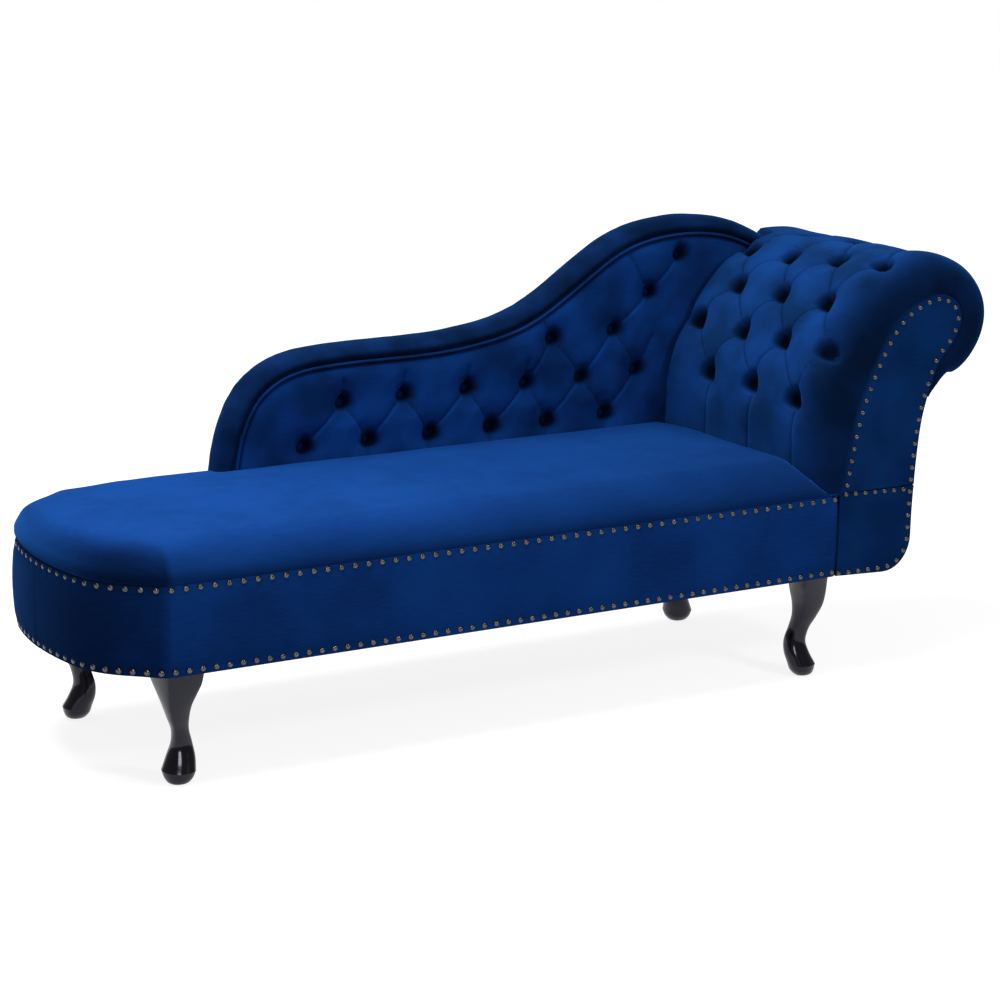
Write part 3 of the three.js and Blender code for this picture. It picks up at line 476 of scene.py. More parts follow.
def pleat(upper, lower, bow):
    """Fold from an upper button to a lower one: it leaves level, and comes down steeply."""
    centre = (upper + lower) / 2
    control = centre + bow * (np.array((upper[0], lower[1])) - centre)
    share = np.linspace(0, 1, 9)[:, None]
    line = upper * (1 - share) ** 2 + control * 2 * share * (1 - share) + lower * share**2
    inside = np.array((lower[0], upper[1])) - upper
    way = lower - upper
    turn = math.copysign(1, way[0] * inside[1] - way[1] * inside[0])
    return line, turn


def meeting(rows, reach, away_bow, near_bow):
    """Pleats between each button and its neighbours in the next row up."""
    pleats = []
    for lower, upper in zip(rows, rows[1:]):
        for a in upper:
            for b in lower:
                if np.linalg.norm(a - b) < reach:
                    pleats.append(pleat(a, b, away_bow if b[1] > a[1] else near_bow))
    return pleats


def straight(upper, lower):
    """A pleat with no bow, folded the same way on both sides."""
    return np.linspace(upper, lower, 5), 0.0


def folds(places, pleats, wide, narrow):
    """Depth share of the pleats at each place, and the distance from the nearest one."""
    near = np.full(places.shape[:-1], 1e9)
    depth = np.zeros(places.shape[:-1])
    for line, turn in pleats:
        count = len(line) - 1
        for k, (start, end) in enumerate(zip(line, line[1:])):
            way = end - start
            away = places - start
            share = np.clip(away @ way / (way @ way), 0, 1)
            distance = np.linalg.norm(away - share[..., None] * way, axis=-1)
            side = (way[0] * away[..., 1] - way[1] * away[..., 0]) * turn
            reach = np.where(side > 0, narrow, wide)
            middle = abs((k + 0.5) / count - 0.5) * 2
            # A pleat is deepest at its two buttons
            slope = (0.55 + 0.45 * middle) * fading(distance, reach) ** 2
            depth = np.maximum(depth, slope)
            near = np.minimum(near, distance)
    return depth, near


def pits(places, buttons, up, down, far, close):
    """Depth share of the button hollows, from the reach of their slopes in millimetres."""
    depth = np.zeros(places.shape[:-1])
    for button in buttons:
        rise = places[..., 0] - button[0]
        side = places[..., 1] - button[1]
        tall = rise / np.where(rise > 0, up * MM, down * MM)
        wide = side / np.where(side > 0, far * MM, close * MM)
        left = fading(np.hypot(tall, wide), 1)
        depth = np.maximum(depth, left * left * (3 - 2 * left))
    return depth


# Tufting of each pad, in millimetres: reach of the pits, of the bowls round them and of the painted shade
# in the hollows (up, down, far and close), share of the bowls in the depth, widths of a fold on its two
# sides and its depth, and width and depth of its crease
TUFTS = {
    "arm": {
        "pit": (38, 15, 32, 19),
        "bowl": (58, 48, 56, 48),
        "hollow": (42, 14, 34, 17),
        "bowl_share": 0.25,
        "fold": (20, 7, 4.5),
        "crease": (1.7, 2.4),
    },
    "back": {
        "pit": (30, 14, 24, 18),
        "bowl": (50, 46, 48, 48),
        "hollow": (37, 18, 32, 21),
        "bowl_share": 0.28,
        "fold": (18, 8, 4),
        "crease": (1.8, 1.4),
    },
}


def tufting(name, depth, places, rows, pleats):
    """Depth of a pad's tufts, shares of its creases and of painted shade in its hollows, and distance from
    the nearest fold.
    """
    shape = TUFTS[name]
    buttons = [b for row in rows for b in row]
    wide, narrow, drop = shape["fold"]
    width, cut = shape["crease"]
    share = shape["bowl_share"]
    fold, near = folds(places, pleats, wide * MM, narrow * MM)
    pit, bowl, hollow = (pits(places, buttons, *shape[part]) for part in ("pit", "bowl", "hollow"))
    crease = bell(near, 0, width * MM)
    sunk = depth * ((1 - share) * pit + share * bowl)
    return sunk + drop * MM * fold * (1 - pit) + cut * MM * crease, crease, hollow, near


# Finishes


def linear(colour):
    """Linear red, green and blue of an sRGB hex colour, with alpha."""
    parts = [int(colour[k : k + 2], 16) / 255 for k in (1, 3, 5)]
    return [c / 12.92 if c <= 0.04045 else ((c + 0.055) / 1.055) ** 2.4 for c in parts] + [1.0]


def add_node(tree, kind, inputs=None, **settings):
    """Adds a node with its settings; an input is a value or another node's output."""
    node = tree.nodes.new(kind)
    for name, value in settings.items():
        setattr(node, name, value)
    for name, value in (inputs or {}).items():
        fits = [s for s in node.inputs if name in (s.name, s.identifier) and s.enabled]
        socket = fits[0] if fits else node.inputs[name]
        if isinstance(value, bpy.types.NodeSocket):
            tree.links.new(value, socket)
        else:
            socket.default_value = value
    return node


def result(node):
    """The output of a node that is in use."""
    return next(s for s in node.outputs if s.enabled)


def new_finish(name):
    """An empty material's tree with its output and shader."""
    material = bpy.data.materials.new(name)
    material.use_nodes = True
    tree = material.node_tree
    tree.nodes.clear()
    shader = add_node(tree, "ShaderNodeBsdfPrincipled")
    add_node(tree, "ShaderNodeOutputMaterial", {"Surface": shader.outputs["BSDF"]})
    return material, tree, shader


def set_shader(shader, **values):
    """Sets sockets of the shader by their names, with _ for a space."""
    for name, value in values.items():
        shader.inputs[name.replace("_", " ")].default_value = value


# Velvet by use: one cloth with its colours set piece by piece, partly by the way its pile lies and partly
# as painted light and shade, brighter or darker by how light falls on each piece. Columns: colours where
# the pile lies away from the light and towards it, weight of the bloom, width of the brushed patches in
# metres, and share of the weft in the pattern
VELVETS = {
    "seat": ("#0b306c", "#0e387a", 0.8, 0.16, 0.34),
    "tufted": ("#08264f", "#0d3470", 0.45, 0.1, 0.12),
    "band": ("#0a2f6b", "#0e3b82", 0.3, 0.16, 0.34),
    "back": ("#08285a", "#0d3a80", 0.5, 0.1, 0.12),
    "facing": ("#07285a", "#0b3570", 0.3, 0.12, 0.2),
    "border": ("#031430", "#062049", 0.35, 0.08, 0.1),
}


def velvet(name, deep, lit, sheen, sheen_weight, patch, weft_share):
    """Cut-pile velvet: almost no gloss straight on, a blue bloom where the pile is seen from the side."""
    material, tree, shader = new_finish(name)
    place = add_node(tree, "ShaderNodeTexCoord").outputs["Object"]
    # Patches where the pile was brushed another way, about a hand wide
    patches = {"Vector": place, "Scale": 1 / patch, "Detail": 2.0}
    brushed = add_node(tree, "ShaderNodeTexNoise", patches)
    # Rows of pile drawn out along the weft, 3 mm apart, which is coarse enough to show
    stretched = add_node(tree, "ShaderNodeMapping", {"Vector": place, "Scale": (0.12, 0.12, 1.0)})
    threads = {"Vector": result(stretched), "Scale": 1 / (3 * MM), "Detail": 3.0}
    weft = add_node(tree, "ShaderNodeTexNoise", threads)
    mixed = {"Factor": weft_share, "A": brushed.outputs["Fac"], "B": weft.outputs["Fac"]}
    pattern = add_node(tree, "ShaderNodeMix", mixed)
    spread = {"Value": result(pattern), "From Min": 0.38, "From Max": 0.62}
    lie = add_node(tree, "ShaderNodeMapRange", spread)
    toned = {"Factor": result(lie), "A": linear(deep), "B": linear(lit)}
    tone = add_node(tree, "ShaderNodeMix", toned, data_type="RGBA")
    # Painted shade: where the mesh is marked with shade, in hollows, creases, seams and turned faces, the
    # colour turns near black
    shade = add_node(tree, "ShaderNodeAttribute", attribute_name="shade")
    darkened = {"Factor": shade.outputs["Fac"], "A": result(tone), "B": linear("#010205")}
    sunk = add_node(tree, "ShaderNodeMix", darkened, data_type="RGBA")
    tree.links.new(result(sunk), shader.inputs["Base Color"])
    # Pile ends, 0.4 mm apart in cloth, drawn at 1.2 mm so that they show
    ends = {"Vector": place, "Scale": 1 / (1.2 * MM), "Detail": 2.0}
    pile = add_node(tree, "ShaderNodeTexNoise", ends)
    relief = {"Height": pile.outputs["Fac"], "Strength": 0.35, "Distance": 0.4 * MM}
    bump = add_node(tree, "ShaderNodeBump", relief)
    tree.links.new(bump.outputs["Normal"], shader.inputs["Normal"])
    set_shader(shader, Roughness=0.92, Specular_IOR_Level=0.02, Sheen_Weight=sheen_weight)
    set_shader(shader, Sheen_Roughness=0.4, Sheen_Tint=linear(sheen))
    return material


def patterned(
    name, size, detail=None, stretch=None, tones=None, dark=None, gloss=None, relief=None, **values
):
    """A finish with one pattern of a real size, which leads its tones, its roughness and its relief."""
    material, tree, shader = new_finish(name)
    place = add_node(tree, "ShaderNodeTexCoord").outputs["Object"]
    if stretch is not None:
        place = result(add_node(tree, "ShaderNodeMapping", {"Vector": place, "Scale": stretch}))
    scaled = {"Vector": place, "Scale": 1 / size}
    if detail is None:
        pattern = add_node(tree, "ShaderNodeTexVoronoi", scaled).outputs["Distance"]
    else:
        pattern = add_node(tree, "ShaderNodeTexNoise", {**scaled, "Detail": detail}).outputs["Fac"]
    if tones is not None:
        toned = {"Factor": pattern, "A": linear(tones[0]), "B": linear(tones[1])}
        tone = result(add_node(tree, "ShaderNodeMix", toned, data_type="RGBA"))
        if dark is not None:
            # Painted shade: where the mesh is marked with shade, the tone turns dark
            shade = add_node(tree, "ShaderNodeAttribute", attribute_name="shade").outputs["Fac"]
            darkened = {"Factor": shade, "A": tone, "B": linear(dark)}
            tone = result(add_node(tree, "ShaderNodeMix", darkened, data_type="RGBA"))
        tree.links.new(tone, shader.inputs["Base Color"])
    if gloss is not None:
        spread = {"Value": pattern, "To Min": gloss[0], "To Max": gloss[1]}
        rough = add_node(tree, "ShaderNodeMapRange", spread)
        tree.links.new(rough.outputs["Result"], shader.inputs["Roughness"])
    if relief is not None:
        raised = {"Height": pattern, "Strength": relief[0], "Distance": relief[1]}
        bump = add_node(tree, "ShaderNodeBump", raised)
        tree.links.new(bump.outputs["Normal"], shader.inputs["Normal"])
    set_shader(shader, **values)
    return material


# Finishes of one pattern: its size and detail, its stretch along the grain, the two tones and the dark
# tone of painted shade where the mesh is marked, the range of roughness, and the relief's strength and
# height
PATTERNED = {
    # Antiqued brass plate on steel nails: two tones at random, with painted shade at the rim,
    # darker than the dome
    "brass": {
        "name": "antique_brass_nails",
        "size": 6 * MM,
        "detail": 3.0,
        "tones": ("#303031", "#6b6a68"),
        "dark": "#0e0b09",
        "gloss": (0.22, 0.13),
        "Metallic": 1.0,
    },
    # Black gloss lacquer on turned wood: near black, sharp reflections, grain filled under the film
    "lacquer": {
        "name": "gloss_lacquer_on_wood",
        "size": 4 * MM,
        "detail": 4.0,
        "stretch": (1.0, 1.0, 0.1),
        "tones": ("#050509", "#0d0c14"),
        "gloss": (0.1, 0.16),
        "relief": (0.08, 0.1 * MM),
        "Specular_IOR_Level": 0.42,
        "IOR": 1.5,
        "Specular_Tint": linear("#dcdcf4"),
    },
    # Planed softwood, unfinished, inside the upholstery: pale, dull, with long grain
    "timber": {
        "name": "planed_softwood",
        "size": 6 * MM,
        "detail": 5.0,
        "stretch": (0.08, 1.0, 1.0),
        "tones": ("#a87c4c", "#d2ab78"),
        "relief": (0.3, 0.3 * MM),
        "Roughness": 0.7,
    },
    # Zinc-plated steel wire and bolts: bright and a little mottled
    "zinc": {
        "name": "zinc_plated_steel",
        "size": 9 * MM,
        "detail": 3.0,
        "tones": ("#8a8f96", "#b8bcc0"),
        "Metallic": 1.0,
        "Roughness": 0.38,
    },
    # Thin black non-woven cloth: dull, with pressed dots 2 mm apart
    "cambric": {
        "name": "non_woven_cambric",
        "size": 2 * MM,
        "tones": ("#0c0c0e", "#1f1f22"),
        "relief": (0.4, 0.2 * MM),
        "Roughness": 0.95,
    },
    # Moulded black nylon: satin, with a fine moulded grain
    "nylon": {
        "name": "moulded_nylon",
        "size": 1.5 * MM,
        "detail": 2.0,
        "relief": (0.2, 0.1 * MM),
        "Base_Color": linear("#202022"),
        "Roughness": 0.5,
        "IOR": 1.53,
    },
}
FINISHES = {}


def finish_of(name):
    """Each finish is made once, from the colours of the panel."""
    if name not in FINISHES:
        colours = bpy.context.scene.couch_colours
        if name in VELVETS:
            deep, lit = getattr(colours, f"{name}_deep"), getattr(colours, f"{name}_lit")
            FINISHES[name] = velvet(f"velvet_{name}", deep, lit, colours.bloom, *VELVETS[name][2:])
        else:
            FINISHES[name] = patterned(**PATTERNED[name])
    return FINISHES[name]


# Settings of the panel: lengths in millimetres
SIZES = (
    ("nail_radius", "Nail radius", "Radius of a nail's head", 5.3),
    ("nail_pitch", "Nail spacing", "Distance between nails along a row", 23),
    ("nail_inset", "Nail inset", "Distance of a row's first nail from the arm's seam", 8.5),
    ("button_radius", "Button radius", "Radius of a covered button", 8),
    ("arm_tuft_depth", "Arm tuft depth", "How deep the arm's buttons are drawn in", 34),
    ("back_tuft_depth", "Back tuft depth", "How deep the back's buttons are drawn in", 26),
    ("tip_fill", "Tip fill", "How far the arm's tip swells", 9),
    ("seat_round", "Seat edge radius", "Radius of the seat's front edge", 70),
    ("seat_crown", "Seat crown", "Rise of the seat from its edges to its middle", 5),
    ("cover_bulge", "Base bulge", "How far the base's padding stands out", 3.5),
    ("welt_radius", "Piping radius", "Radius of the back's piping", 2.8),
)
# Camera, lamps and room, with their units
STAGE = (
    ("azimuth", "Azimuth", "Camera's turn round the couch", math.radians(-30.91), "ROTATION"),
    ("elevation", "Elevation", "Camera's height angle", math.radians(13.98), "ROTATION"),
    ("roll", "Roll", "Camera's roll", math.radians(0.966), "ROTATION"),
    ("lens", "Lens", "Focal length", 99.94, "CAMERA"),
    ("key_strength", "Key", "Power of the key light", 26.0, "POWER"),
    ("top_strength", "Top", "Power of the overhead light", 85.0, "POWER"),
    ("window_strength", "Window", "Power of the window light", 110.0, "POWER"),
    ("world_strength", "World", "Light of the white room", 0.28, "NONE"),
)
CAMERA_PLACE = (-2.4132, -4.0128, 1.5017)


def colour_settings():
    """Two colours of each velvet and the bloom that all share, as sRGB hex texts."""
    settings = {"bloom": ("Bloom", "Sheen of the pile seen from the side", "#2b77da")}
    for key, (deep, lit, *_) in VELVETS.items():
        use = key.capitalize()
        settings[f"{key}_deep"] = (f"{use}, deep", f"{use} velvet where the pile lies away", deep)
        settings[f"{key}_lit"] = (f"{use}, lit", f"{use} velvet where the pile lies towards the light", lit)
    return {
        key: bpy.props.StringProperty(name=name, description=what, default=tone)
        for key, (name, what, tone) in settings.items()
    }


class CouchSizes(bpy.types.PropertyGroup):
    """Sizes of the small parts and the padding"""

    __annotations__ = {
        key: bpy.props.FloatProperty(name=name, description=what, default=size * MM, unit="LENGTH")
        for key, name, what, size in SIZES
    }


class CouchColours(bpy.types.PropertyGroup):
    """Colours of the velvets"""

    __annotations__ = colour_settings()


class CouchStage(bpy.types.PropertyGroup):
    """Camera, lamps and room"""

    __annotations__ = {
        key: bpy.props.FloatProperty(name=name, description=what, default=value, unit=unit)
        for key, name, what, value, unit in STAGE
    }
    place: bpy.props.FloatVectorProperty(
        name="Place", description="Where the camera stands", default=CAMERA_PLACE, unit="LENGTH"
    )


# Pieces: squares of a padded face, and the angle of its creased edges
GRID = 5 * MM
CREASE = math.radians(50)
# Nail rows of the base: height over its lower edge or under its upper one, and share of the spacing
LOWER_ROW = 9 * MM
UPPER_ROW = 7 * MM
LOWER_SPREAD = 1.0
UPPER_SPREAD = 1.06
# Band of the base: step along it, radius of its edges, width of its hidden lips, how far a row of nails
# draws it in and over which height, and how far each nail does
BASE_STEP = 3.8 * MM
BAND_EDGE = 2 * MM
BAND_LIP = 5 * MM
ROW_DIP = 0.3 * MM
ROW_SPAN = 4 * MM
PUCKER = 1 * MM
PUCKER_REACH = 6 * MM


def nail_shares(pitch, start, end):
    """Distances of evenly spaced nails along a line, from start to end."""
    count = int(round((end - start) / pitch))
    return np.linspace(start, end, count + 1)


def base_rows(line, sizes):
    """Name of each nail row of the base, its height over the base's bottom and its nails' distances."""
    total = lengths(line)[-1]
    for name, height, spread in (
        ("nails_base_lower", LOWER_ROW, LOWER_SPREAD),
        ("nails_base_upper", BASE_TOP - BASE_BOTTOM - UPPER_ROW, UPPER_SPREAD),
    ):
        inset = sizes.nail_inset
        yield name, height, nail_shares(sizes.nail_pitch * spread, inset, total - inset)


def puckers(run, height, nails, row):
    """Inward pull of the cover round each nail of a row."""
    nearest = np.min(np.abs(run[:, None] - nails[None, :]), axis=1)
    away = np.sqrt(nearest[:, None] ** 2 + (height[None, :] - row) ** 2)
    return PUCKER * bell(away, 0, PUCKER_REACH)


def band_section(height, bulge):
    """Section of the base's band, from its lower lip over the padding to its upper one."""
    low = LOWER_ROW
    high = height - UPPER_ROW
    section = [
        (-BAND_LIP, 0.0),
        (-BAND_EDGE, 0.0),
        (-BAND_EDGE * 0.3, BAND_EDGE * 0.3),
        (0.0, BAND_EDGE),
        (0.0, low - ROW_SPAN),
        (-ROW_DIP, low),
        (0.5 * MM, low + ROW_SPAN),
    ]
    for share in (0.16, 0.24, 0.34, 0.45, 0.55, 0.66, 0.76, 0.84):
        section.append((bulge * math.sin(math.pi * share) ** 0.7, height * share))
    section += [
        (0.5 * MM, high - ROW_SPAN),
        (-ROW_DIP, high),
        (0.0, height - BAND_EDGE),
        (-BAND_EDGE * 0.4, height - BAND_EDGE * 0.3),
        (-BAND_EDGE, height),
        (-BAND_LIP, height),
    ]
    return np.array(section)


class COUCH_OT_base(bpy.types.Operator):
    """Padded band of velvet round the base"""

    bl_idname = "couch.base"
    bl_label = "Base band"

    def execute(self, context):
        sizes = context.scene.couch_sizes
        line = base_line(BASE_STEP)
        normals = outward(line)
        run = lengths(line)
        height = BASE_TOP - BASE_BOTTOM
        section = band_section(height, sizes.cover_bulge)
        out, up = section[:, 0], section[:, 1] / height
        points = tube(line, normals, section, in_plan)
        points[..., 2] += BASE_BOTTOM
        pull = sum(puckers(run, section[:, 1], nails, row) for name, row, nails in base_rows(line, sizes))
        pull *= (out > -1 * MM)[None, :]
        # The band turns in at the arm's seams
        end = np.minimum(run, run[-1] - run)
        pull += 4.5 * MM * (1 - rounded(end, 9 * MM))[:, None]
        # It is fuller at the foot, and flatter round the front shoulder
        at_foot = ramp(line[:, 0], 0.12, -0.1)
        pull -= 4 * MM * (at_foot[:, None] * np.sin(np.pi * np.clip(up, 0, 1)) ** 0.4)
        shoulder = bell(line[:, 0], 0.075, 0.06) * (line[:, 1] < MIDDLE)
        pull += 3.5 * MM * shoulder[:, None] * np.clip(1.2 - up, 0, 1)
        points[..., :2] -= normals[:, None, :] * pull[..., None]
        free = np.sin(np.pi * up) * (out > 0)
        swell = drawn(points, 0.09, 3.0) * 0.8 * MM * free[None, :]
        points[..., :2] += normals[:, None, :] * swell[..., None]
        # Painted shade in the seam's groove, and on the foot end where it turns away from the light
        groove = 0.9 * fading(end, 7 * MM)
        facing = -normals[:, 0]
        turned = 0.22 * ramp(facing, 0.08, 0.1) + 0.5 * np.clip(facing, 0, 1) ** 2
        shade = np.maximum(groove, turned)[:, None] * np.ones(len(section))
        mesh = skin(points, wrapped=True, capped=True, shade=shade)
        covers = ("base_cover_front", "base_cover_foot", "base_cover_rear")
        piece("base_band", mesh, finish_of("band"), covers)
        return {"FINISHED"}


# Arm's pad: how far it comes over the seat, its front roll and its clearance to the seat; and the
# distance of the back pad's front from the couch's rear
ARM_PAD_FOOT = 69 * MM
ARM_ROUND = 55 * MM
SEAT_GAP = 3.2 * MM
BACK_PAD_FRONT = 64 * MM


def arm_swell(depth):
    """How much further the arm's pad comes over the seat towards the back."""
    near = ramp(depth, 0.05, 0.2)
    far = ramp(depth, 0.31, 0.115)
    return 14 * MM * near * near * (3 - 2 * near) + 26 * MM * far * far


def seat_outline():
    """The seat's open edge from the arm round the foot to the back, and its edge along the pads."""
    line = base_line(4 * MM)
    back_foot = BACK_FOOT_X - GAP * 3
    rear_y = DEPTH - BACK_PAD_FRONT - SEAT_GAP
    open_edge = line[(line[:, 1] < MIDDLE) | (line[:, 0] < back_foot)]
    open_edge = np.vstack((open_edge, ((back_foot, DEPTH),)))
    arm_y = np.arange(ARM_ROUND + GRID, rear_y, GRID)
    arm_y = np.concatenate((np.linspace(0, ARM_ROUND, 16), arm_y))
    arm_x = SEAT_RUN - ARM_PAD_FOOT * rounded(arm_y, ARM_ROUND) - arm_swell(arm_y)
    arm_curve = np.stack((arm_x, arm_y), axis=1)[::-1]
    corners = ((back_foot, DEPTH), (back_foot, rear_y), (arm_x[-1], rear_y))
    return open_edge, even(np.vstack((corners, arm_curve[1:])), 4 * MM)


def seat_height(places, open_edge, closed, sizes):
    """Height of the seat's top: crowned, rounded down to the open edge and sunk a little at the pads."""
    x, y = places[..., 0], places[..., 1]
    open_distance = distance_to_line(places, open_edge[::2])
    closed_distance = distance_to_line(places, closed[::2])
    crown = 1 - ((y - MIDDLE) / MIDDLE) ** 2
    height = SEAT_TOP - sizes.seat_crown * (1 - crown)
    drop = SEAT_TOP - sizes.seat_crown - SEAT_BOTTOM - 2 * MM
    # The round is squarer at the foot, wide at its rear corner and tight along the open rear
    foot = ramp(x, 0.24, -0.2)
    rear_corner = ramp(x, 0.22, -0.15) * ramp(y, MIDDLE * 0.8, 0.15)
    open_rear = ramp(y, MIDDLE, 0.1) * ramp(x, 0.1, 0.2)
    spread = sizes.seat_round * (1 - 0.12 * foot + 0.6 * rear_corner - 0.14 * open_rear)
    power = 1.8 + 0.9 * foot + 0.2 * rear_corner
    height = height - drop * (1 - rounded(open_distance, spread, power))
    corner = np.hypot(x - 0.11, y - 0.44)
    height = height - 3 * MM * bell(corner, 0, 0.09) * rounded(open_distance, 40 * MM)
    return height - 16 * MM * (1 - rounded(closed_distance, 16 * MM))


class COUCH_OT_seat(bpy.types.Operator):
    """Long seat pad, rounded over at the front, the foot and the open rear"""

    bl_idname = "couch.seat"
    bl_label = "Seat pad"

    def execute(self, context):
        sizes = context.scene.couch_sizes
        open_edge, closed = seat_outline()
        line = softened(np.vstack((open_edge, closed[1:-1])), 3 * MM, 2)
        inward = -outward(line, closed=True)
        # Rings of the underside by inset and rise, and of the edge by inset, in millimetres
        rings = []
        for inset, rise in ((12, 0.0), (1.5, 0.2), (0.2, 1.5)):
            place = line + inward * inset * MM
            place[:, 1] = np.maximum(place[:, 1], min(inset, 1.5) * MM)
            rings.append(np.column_stack((place, np.full(len(place), SEAT_BOTTOM + rise * MM))))
        for inset in (0.0, 0.35, 0.8, 1.6, 2.8):
            place = line + inward * inset * MM
            height = seat_height(place, open_edge, closed, sizes)
            height = np.maximum(height, SEAT_BOTTOM + (1.5 + inset) * MM)
            rings.append(np.column_stack((place, height)))
        mesh = skin(np.array(rings), wrapped=True, capped="whole")
        inside = gridded(mesh, last_cap(mesh, 2, 1), GRID, (0, 1))
        bmesh.ops.triangulate(mesh, faces=[f for f in mesh.faces if len(f.verts) > 4])
        places = np.array([v.co for v in inside]) - ORIGIN
        for vertex, height in zip(inside, seat_height(places[:, :2], open_edge, closed, sizes)):
            vertex.co.z = height
        places = np.array([v.co for v in mesh.verts]) - ORIGIN
        rise = ramp(places[:, 2], SEAT_BOTTOM, 40 * MM)
        low = ramp(places[:, 2], SEAT_BOTTOM, 30 * MM)
        # The sides stand out a little from the seat's middle line, most at the foot
        middle_x = np.clip(places[:, 0], 0.25, 1.25)
        away = places[:, :2] - np.column_stack((middle_x, np.full(len(places), MIDDLE)))
        away /= np.maximum(np.linalg.norm(away, axis=1, keepdims=True), 0.05)
        near = fading(distance_to_line(places[:, :2], open_edge[::2]), 20 * MM)
        bulge = 0.6 * MM * np.sin(np.pi * low) * near * (1 + 5 * ramp(places[:, 0], 0.3, -0.25))
        places[:, :2] += away * bulge[:, None]
        places[:, 2] += drawn(places, 0.16, 7.0) * 1.6 * MM * rise
        places[:, 2] += drawn(places, 0.05, 11.0) * 0.5 * MM * rise
        # Painted shade at the lower edge, along the sides, round the foot's front corner and towards the
        # head
        x, y = places[:, 0], places[:, 1]
        side = fading(distance_to_line(places[:, :2], open_edge[::2]), 40 * MM)
        foot_turn = ramp(x, 0.126, -0.012) * ramp(y, 0.19, -0.12)
        shades = np.maximum(0.6 * fading(places[:, 2] - SEAT_BOTTOM, 3 * MM), side * (0.2 + 0.5 * foot_turn))
        shades = np.maximum(shades, 0.4 * ramp(x, 0.35, 1.0))
        layer = mesh.verts.layers.float["shade"]
        for vertex, place, value in zip(mesh.verts, places + ORIGIN, shades):
            vertex.co = place
            vertex[layer] = value
        bmesh.ops.recalc_face_normals(mesh, faces=mesh.faces)
        piece("seat_cushion", mesh, finish_of("seat"), ("seat_pad",))
        return {"FINISHED"}


def standing(centre, axis, radius, flat):
    """Place of a unit ball, flattened along the axis that points out of a surface."""
    turn = axis.to_track_quat("Z", "Y").to_matrix().to_4x4()
    return Matrix.Translation(centre) @ turn @ Matrix.Diagonal((radius, radius, radius * flat, 1))


def add_button(mesh, centre, axis, radius):
    """A covered button: a flattened ball, half sunk in its pad."""
    place = standing(centre, axis, radius, 0.5)
    bmesh.ops.create_uvsphere(mesh, u_segments=16, v_segments=10, radius=1, matrix=place)


# Arm buttons: share of the way over the scroll, and distance from the front in millimetres
ARM_ROWS = (
    ((0.166, 60), (0.172, 181), (0.169, 308)),
    ((0.268, 25), (0.265, 138), (0.260, 254), (0.258, 384)),
    ((0.356, 84), (0.349, 207), (0.345, 336)),
    ((0.478, 46), (0.462, 155), (0.438, 270), (0.434, 390)),
    ((0.590, 112), (0.576, 235), (0.558, 350)),
)
# Rolls of the pad's rear end, beside the back and where it passes over it, and the end beside the back
BESIDE_ROUND = 15 * MM
OVER_ROUND = 32 * MM
ARM_SHORT_END = DEPTH - BACK_PAD_FRONT - 2 * MM


def arm_base():
    """The arm's line under its pad, the pad's thickness and the ways in which it stands out."""
    line = scroll_line(2.5 * MM)
    base = line[:, :2]
    normals = eased(outward(base), 12)
    normals /= np.linalg.norm(normals, axis=1, keepdims=True)
    normals[0] = (-1, 0)
    return base + normals * GAP, eased(line[:, 2], 9), normals


def arm_form(base, thickness, normals, run):
    """Depths of the pad's places, their shares of its height and their heights before tufting."""
    over = base[:, 0] > BACK_END_X + GAP * 2
    lean = np.maximum(-normals[:, 0], 0.02)
    beside = np.where(over, (base[:, 0] - BACK_END_X - GAP * 2) / lean, 0)
    beside = np.minimum(beside, thickness)[:, None]
    turn = np.linspace(0, math.pi / 2, 22)
    front = ARM_ROUND * (1 - np.cos(turn)) - 3 * MM * np.sin(2 * turn)
    middle = np.linspace(0, 1, 188)[1:-1]
    depths = []
    for end, radius in zip(np.where(over, DEPTH, ARM_SHORT_END), np.where(over, OVER_ROUND, BESIDE_ROUND)):
        span = end - radius - ARM_ROUND
        rear = end - radius * (1 - np.cos(turn[::-1]))
        depths.append(np.concatenate((front, ARM_ROUND + span * middle, rear)))
    depths = np.array(depths)
    heights = np.concatenate((np.sin(turn), np.ones(len(middle)), np.sin(turn[::-1])))
    heights = np.broadcast_to(heights, depths.shape)
    deep = np.broadcast_to(thickness[:, None], depths.shape)
    swell = arm_swell(depths) * fading(run, run[-1] * 0.5)[:, None]
    held = beside + (deep - beside) * rounded(np.maximum(ARM_SHORT_END - depths, 0), BESIDE_ROUND)
    full = np.where(over[:, None], np.minimum(deep * heights, held), (deep + swell) * heights)
    return depths, heights, full


